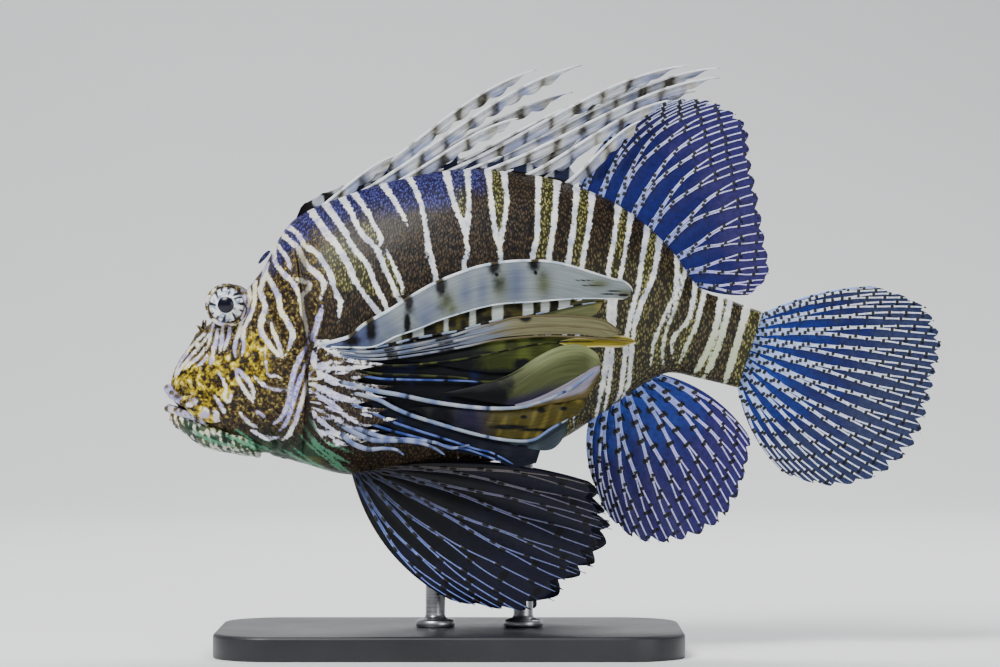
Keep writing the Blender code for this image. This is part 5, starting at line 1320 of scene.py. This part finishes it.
def make_pectoral(side, finishes):
    """One pectoral fin. Each leaf of skin is spread between an upper and a lower line, the rays lie on them as
    tapered rods, and a fleshy base with frayed ends carries them."""
    node = "fin_pectoral_" + SIDES[side]
    for kind, (lift, bulge, upper, lower) in PECTORAL_LEAVES.items():
        top, bottom = even_line(upper, 240), even_line(lower, 240)
        share = np.linspace(0, 1, 30)
        flat = top[:, None] + (bottom - top)[:, None] * share[:, None]
        x, z = flat[..., 0], flat[..., 1]
        width = np.maximum(np.linalg.norm(bottom - top, axis=1), 0.5)[:, None]
        bulge = bulge * np.clip(width / 14, 0, 1) * np.sin(math.pi * share)
        ripple = LEAF_RIPPLES.get(kind, 0.12) * np.sin(x / 1.7) * share**1.5
        points = np.stack([x, side * (stand_out(x, z) + lift + bulge + ripple), z], -1)
        marks = leaf_marks(kind, points * (1, side, 1), width * share, width)
        sheet = shell(points, LEAF_MM, along=run_length(top)[:, None], across=width * share, **marks)
        build(f"{node}_{kind}", [sheet], finishes[kind], "spine", *([node] if kind == "web" else []))
    bones = {}
    for kind, first, last, lift, path in PECTORAL_RAYS:
        line = even_line(path, 130)
        points = np.stack([line[:, 0], side * (stand_out(line[:, 0], line[:, 1]) + lift), line[:, 1]], -1)
        u = np.linspace(0, 1, 130)
        radii = (first + (last - first) * u) * blunt(u)
        length = run_length(points)
        pitch, bars, strength = RAY_BARS[kind]
        wave = off_middle(length / pitch + 0.3 * first + 0.12 * lumps(points, 15.0))
        marks = {"dark": strength * ease(0.5 + (bars - wave) / 0.05), "warm": ease(lumps(points, 9.0)),
                 "cool": ease(0.5 + lumps(points, 3.0))}
        if kind == "white" and first > 0.5:
            spots = [ease((2.4 - np.abs(line[:, 0] - spot)) / 1.4) for spot in EDGE_SPOTS]
            marks["dark"] = 0.9 * np.max(spots, axis=0)
        if kind == "grey":
            rear = ease((line[:, 0] - 2) / 18)
            marks["dark"], marks["cool"] = marks["dark"] * (1 - 0.85 * rear), marks["cool"] * (1 - rear)
            marks["warm"] = np.maximum(marks["warm"], rear)
        bones.setdefault(kind, []).append(tube(points, radii, 10, along=length, across=0.0, **marks))
    for kind, patches in bones.items():
        build(f"{node}_{kind}_rays", patches, finishes[kind + "_ray"], "spine")
    share = np.linspace(0, 1, 120)
    start, end = even_line(BASE_FRONT, 120), even_line(BASE_REAR, 120)
    frayed = 1 - 0.3 * np.abs(np.sin(9 * math.pi * share)) - 0.12 * np.sin(23 * share)
    u = np.linspace(0, 1, 60)[:, None]
    flat = start + (end - start) * (u * frayed)[..., None]
    out = stand_out(flat[..., 0], flat[..., 1]) + 1.0 - 0.6 * u
    points = np.stack([flat[..., 0], side * out, flat[..., 1]], -1)
    points[..., 1] += side * 0.5 * lumps(points, 3.0) * np.sin(math.pi * u)
    values = paint(points)
    x, z = (flat - STREAK_CENTRE).transpose(2, 0, 1)
    turn = np.arctan2(z, x)
    streaks = lumps(np.stack([np.hypot(z, x) / 5, 38 * turn, 0 * turn], -1), 1.0)
    values["white"] = np.minimum(values["white"] + 0.5 * streaks - 0.15, 0.55 - 1.1 * streaks)
    build(node + "_base", [shell(points, 3.6 * (1 - u) + 0.5, **values)], finishes["base"], "skin")


def make_pelvic(side, membrane, bone, thickness):
    """One pelvic fin. The right one hangs a little lower and further back."""
    mirror = np.array((1.0, side, 1.0))
    shift = np.array(FAR_PELVIC_SHIFT if side > 0 else (0.0, 0.0, 0.0))
    fin = {"base": (np.array(PELVIC_BASE) * mirror), "margin": (np.array(PELVIC_MARGIN) + shift) * mirror, "rays": 5,
           "bow": (-0.12, -0.06, -0.02, 0.02, 0.06), "belly": side * 3.0, "wave": (side * 2.0, 1.2, 0.6),
           "bone": 0.44, "edge": 0.5, "pitch": 15.0, "knob": 0.12, "thickness": thickness}
    make_fan("pelvic_" + SIDES[side], fin, membrane, bone, "fin_pelvic_" + SIDES[side])


def make_stand(sizes):
    """A slab whose outline is a rounded rectangle and whose edges are rolled by quarter circles, and two rods, each
    with a turned foot."""
    length, width, height = sizes.base_length / MM / 2, sizes.base_width / MM / 2, sizes.base_height / MM
    turn = circle(240)
    round_x, round_y = np.cos(turn), np.sin(turn)
    outline = np.stack([round_x * BASE_CORNER + np.sign(np.round(round_x, 9)) * (length - BASE_CORNER),
                        round_y * BASE_CORNER + np.sign(np.round(round_y, 9)) * (width - BASE_CORNER)], -1)
    quarter = np.linspace(0, math.pi / 2, 8)
    fall, rise = 1 - np.sin(quarter), 1 - np.cos(quarter)
    # Rings at 20 and 40 mm from the edge keep both faces' shading even.
    inset = np.concatenate([[length, 40, 20], BASE_FOOT * fall, BASE_ROLL * rise, [20, 40, length]])
    level = np.concatenate([[0, 0, 0], BASE_FOOT * rise, height - BASE_ROLL * fall, [height] * 3])
    scale = np.stack([np.maximum(length - inset, 0.5) / length, np.maximum(width - inset, 0.5) / width], -1)
    flat = outline[None] * scale[:, None]
    slab = np.concatenate([flat, np.broadcast_to(level[:, None, None], (*flat.shape[:2], 1))], -1)
    build("stand_slab", [Patch(slab)], charcoal_lacquer(), "stand_base", "stand_base", bend=False)
    for name, x in RODS:
        top = along(BELLY, np.interp(x, np.array(BELLY)[:, 0], np.arange(len(BELLY))))[1] + ROD_IN_BODY
        level = np.array([*ROD_LEVELS, top - 0.5, top])[:, None]
        turn, radius = circle(64)[None, :], np.array(ROD_RADII)[:, None]
        rings = np.stack([x + radius * np.cos(turn), radius * np.sin(turn), level + 0 * turn], -1)
        build(name + "_bar", [Patch(rings)], brushed_steel(), "stand_rod", name)


def make_stage():
    """A sheet of paper that runs level under the stand and turns up behind it along a quarter circle."""
    arc = np.linspace(0, math.pi / 2, 24)
    y = np.concatenate([[-4.0, -1.0], PAPER_BACK + PAPER_BEND * np.sin(arc), [PAPER_BACK + PAPER_BEND]])
    z = np.concatenate([[0, 0], PAPER_BEND * (1 - np.cos(arc)), [PAPER_TOP]])
    x = np.array([[-PAPER_SIDE], [PAPER_SIDE]])
    points = np.stack(np.broadcast_arrays(x, y, z), -1).reshape(-1, 3)
    i = np.arange(len(y) - 1)
    faces = np.stack([i, i + len(y), i + len(y) + 1, i + 1], -1)
    mesh = bpy.data.meshes.new("studio_sheet")
    mesh.from_pydata(points.tolist(), [], faces.tolist())
    mesh.polygons.foreach_set("use_smooth", np.ones(len(faces), bool))
    mesh.materials.append(studio_paper())
    new_object("studio_sheet", mesh)


def make_lights():
    """Soft boxes: a large key from the upper left, a broad fill, a strip behind for the fins' edges, and a dim
    even world."""
    for name, place, target, size, power in SOFT_BOXES:
        light = bpy.data.lights.new(name, "AREA")
        light.shape, light.energy = "RECTANGLE", power
        light.size, light.size_y = size
        obj = new_object(name, light)
        obj.location = place
        line = mathutils.Vector(target) - obj.location
        obj.rotation_euler = line.to_track_quat("-Z", "Y").to_euler()
    world = bpy.data.worlds.new("studio_air")
    world.use_nodes = True
    fill(world.node_tree, world.node_tree.nodes["Background"], {"Color": "#eef0f4", "Strength": 0.26})
    bpy.context.scene.world = world


def make_camera():
    """The camera level with the middle of the fish, 1.5 m to its left."""
    data = bpy.data.cameras.new("camera")
    data.lens, data.sensor_width = CAMERA_LENS, 36.0
    camera = new_object("camera", data)
    camera.location = CAMERA_PLACE
    camera.rotation_euler = (math.pi / 2, 0, 0)
    bpy.context.scene.camera = camera


def distance(name, description, size, least):
    """A length property whose default and least value are given in mm."""
    return bpy.props.FloatProperty(name=name, description=description, default=size * MM, min=least * MM,
                                   unit="LENGTH", subtype="DISTANCE")


class LionfishSizes(bpy.types.PropertyGroup):
    eye: distance("Eye radius", "Radius of each eyeball", 8, 1)
    pupil: distance("Pupil radius", "Radius of the dark pupil", 3.3, 0.5)
    membrane: distance("Fin membrane", "Thickness of the skin between the fin rays", 0.42, 0.1)
    base_length: distance("Base length", "Length of the stand's base", 190, 60)
    base_width: distance("Base width", "Width of the stand's base", 104, 60)
    base_height: distance("Base height", "Height of the stand's base", 10, 4)


def swatch(name, description, code):
    """A colour property whose default is an sRGB hex value."""
    return bpy.props.FloatVectorProperty(name=name, description=description, subtype="COLOR", size=3, min=0, max=1,
                                         default=colour(code)[:3])


class LionfishColours(bpy.types.PropertyGroup):
    dark: swatch("Dark bands", "The skin between the white lines", "#1a120b")
    fin_near: swatch("Fin at its base", "The soft fins' skin near the body", "#0b1659")
    fin_far: swatch("Fin at its margin", "The soft fins' skin near the margin", "#262157")


class LIONFISH_OT_skin(bpy.types.Operator):
    """Builds the skin of the head, body and tail stalk, and the lower jaw"""

    bl_idname = "lionfish.skin"
    bl_label = "Skin and Jaw"

    def execute(self, context):
        colours = context.scene.lionfish_colours
        make_skin(colours)
        make_jaw(colours)
        return {"FINISHED"}


class LIONFISH_OT_eyes(bpy.types.Operator):
    """Builds both eyeballs"""

    bl_idname = "lionfish.eyes"
    bl_label = "Eyes"

    def execute(self, context):
        make_eyes(context.scene.lionfish_sizes)
        return {"FINISHED"}


class LIONFISH_OT_spines(bpy.types.Operator):
    """Builds the dorsal spines with their vanes"""

    bl_idname = "lionfish.spines"
    bl_label = "Dorsal Spines"

    def execute(self, context):
        make_spines()
        return {"FINISHED"}


class LIONFISH_OT_soft_fins(bpy.types.Operator):
    """Builds the soft dorsal, tail, anal and pelvic fins"""

    bl_idname = "lionfish.soft_fins"
    bl_label = "Soft Fins"

    def execute(self, context):
        colours = context.scene.lionfish_colours
        thickness = context.scene.lionfish_sizes.membrane / MM
        skin = fin_skin("blue_violet_fin_skin", colours.fin_near, "#101250", colours.fin_far, (1.0, 0.35), 7.0)
        bone = ray_bone("soft_fin_ray", "#8093dc", "#ccd4f4", "#beb9ea", 0.13, 7.0)
        make_fan("soft_dorsal", {"base": SOFT_DORSAL_BASE, "margin": SOFT_DORSAL_MARGIN, "rays": 9, "bone": 0.46,
                                 "bow": (0.12, 0.15, 0.12, 0.05, -0.06), "wave": (2.0, 1.5, 0.4), "edge": 0.6,
                                 "pitch": 7.0, "knob": 0.13, "thickness": thickness}, skin, bone, "fin_dorsal_soft")
        skin = fin_skin("blue_anal_fin_skin", "#1d3a90", "#19195a", "#241f58", (2.1, 0.55), 8.0)
        bone = ray_bone("anal_fin_ray", "#7b95e4", "#cfd6f6", "#bdb6ec", 0.13, 8.0)
        make_fan("anal", {"base": ANAL_BASE, "margin": ANAL_MARGIN, "rays": 7, "bone": 0.52,
                          "bow": (-0.08, -0.08, -0.02, 0.05, 0.1), "wave": (2.0, 1.5, 2.0), "edge": 0.7,
                          "pitch": 8.0, "knob": 0.14, "paired": 0.35, "thickness": thickness},
                 skin, bone, "fin_anal")
        skin = fin_skin("navy_tail_skin", "#0a2c80", "#0e1850", "#232c4e", (0.95, 0.7), 7.0)
        bone = ray_bone("tail_fin_ray", "#93b0f0", "#e0e6f4", "#d6dcf2", 0.12, 7.0)
        make_fan("tail", {"base": TAIL_BASE, "margin": TAIL_MARGIN, "rays": 10, "bone": 0.54,
                          "bow": (0.06, 0.02, -0.02, -0.05, -0.09), "wave": (3.0, 2.0, 0.8), "edge": 0.6,
                          "pitch": 7.0, "knob": 0.12, "thickness": thickness}, skin, bone, "fin_tail")
        black = fin_skin("black_pelvic_skin", "#020204", "#04060e", "#0d0f22", (2.4, 1.3), 15.0)
        blue = ray_bone("pelvic_fin_ray", "#010208", "#6f86d4", "#6e665f", 0.12, 15.0)
        for side in SIDES:
            make_pelvic(side, black, blue, thickness)
        return {"FINISHED"}


class LIONFISH_OT_pectorals(bpy.types.Operator):
    """Builds both pectoral fins with their webs, vanes and rays"""

    bl_idname = "lionfish.pectorals"
    bl_label = "Pectoral Fins"

    def execute(self, context):
        finishes = {kind: vane_skin(f"pectoral_{kind}_skin", colours, 0.16 if kind == "top" else 0.3)
                    for kind, colours in LEAF_COLOURS.items()}
        for kind, colours in RAY_COLOURS.items():
            finishes[kind + "_ray"] = vane_skin(f"pectoral_{kind}_ray", colours, 0.12)
        finishes["base"] = fish_skin(context.scene.lionfish_colours)
        for side in SIDES:
            make_pectoral(side, finishes)
        return {"FINISHED"}


class LIONFISH_OT_stand(bpy.types.Operator):
    """Builds the display stand's base and rods"""

    bl_idname = "lionfish.stand"
    bl_label = "Stand"

    def execute(self, context):
        make_stand(context.scene.lionfish_sizes)
        return {"FINISHED"}


class LIONFISH_OT_stage(bpy.types.Operator):
    """Builds the floor, the lights and the camera"""

    bl_idname = "lionfish.stage"
    bl_label = "Stage"

    def execute(self, context):
        make_stage()
        make_lights()
        make_camera()
        return {"FINISHED"}


class LIONFISH_PT_panel(bpy.types.Panel):
    """Lists the model's sizes, colours and pieces"""

    bl_idname = "LIONFISH_PT_panel"
    bl_label = "Lionfish"
    bl_space_type = "VIEW_3D"
    bl_region_type = "UI"
    bl_category = "Lionfish"

    def draw(self, context):
        scene = context.scene
        for group in (scene.lionfish_sizes, scene.lionfish_colours):
            for name in group.bl_rna.properties.keys():
                if name not in ("rna_type", "name"):
                    self.layout.prop(group, name)
        for operator in OPERATORS:
            self.layout.operator(operator.bl_idname)


OPERATORS = (LIONFISH_OT_stage, LIONFISH_OT_skin, LIONFISH_OT_eyes, LIONFISH_OT_spines, LIONFISH_OT_soft_fins,
             LIONFISH_OT_pectorals, LIONFISH_OT_stand)
CLASSES = (LionfishSizes, LionfishColours, *OPERATORS, LIONFISH_PT_panel)


def register():
    for item in CLASSES:
        bpy.utils.register_class(item)
    bpy.types.Scene.lionfish_sizes = bpy.props.PointerProperty(type=LionfishSizes)
    bpy.types.Scene.lionfish_colours = bpy.props.PointerProperty(type=LionfishColours)


def unregister():
    del bpy.types.Scene.lionfish_colours
    del bpy.types.Scene.lionfish_sizes
    for item in reversed(CLASSES):
        bpy.utils.unregister_class(item)


def main():
    register()
    ops = bpy.ops.lionfish
    for step in (ops.stage, ops.skin, ops.eyes, ops.spines, ops.soft_fins, ops.pectorals, ops.stand):
        step()


if __name__ == "__main__":
    main()
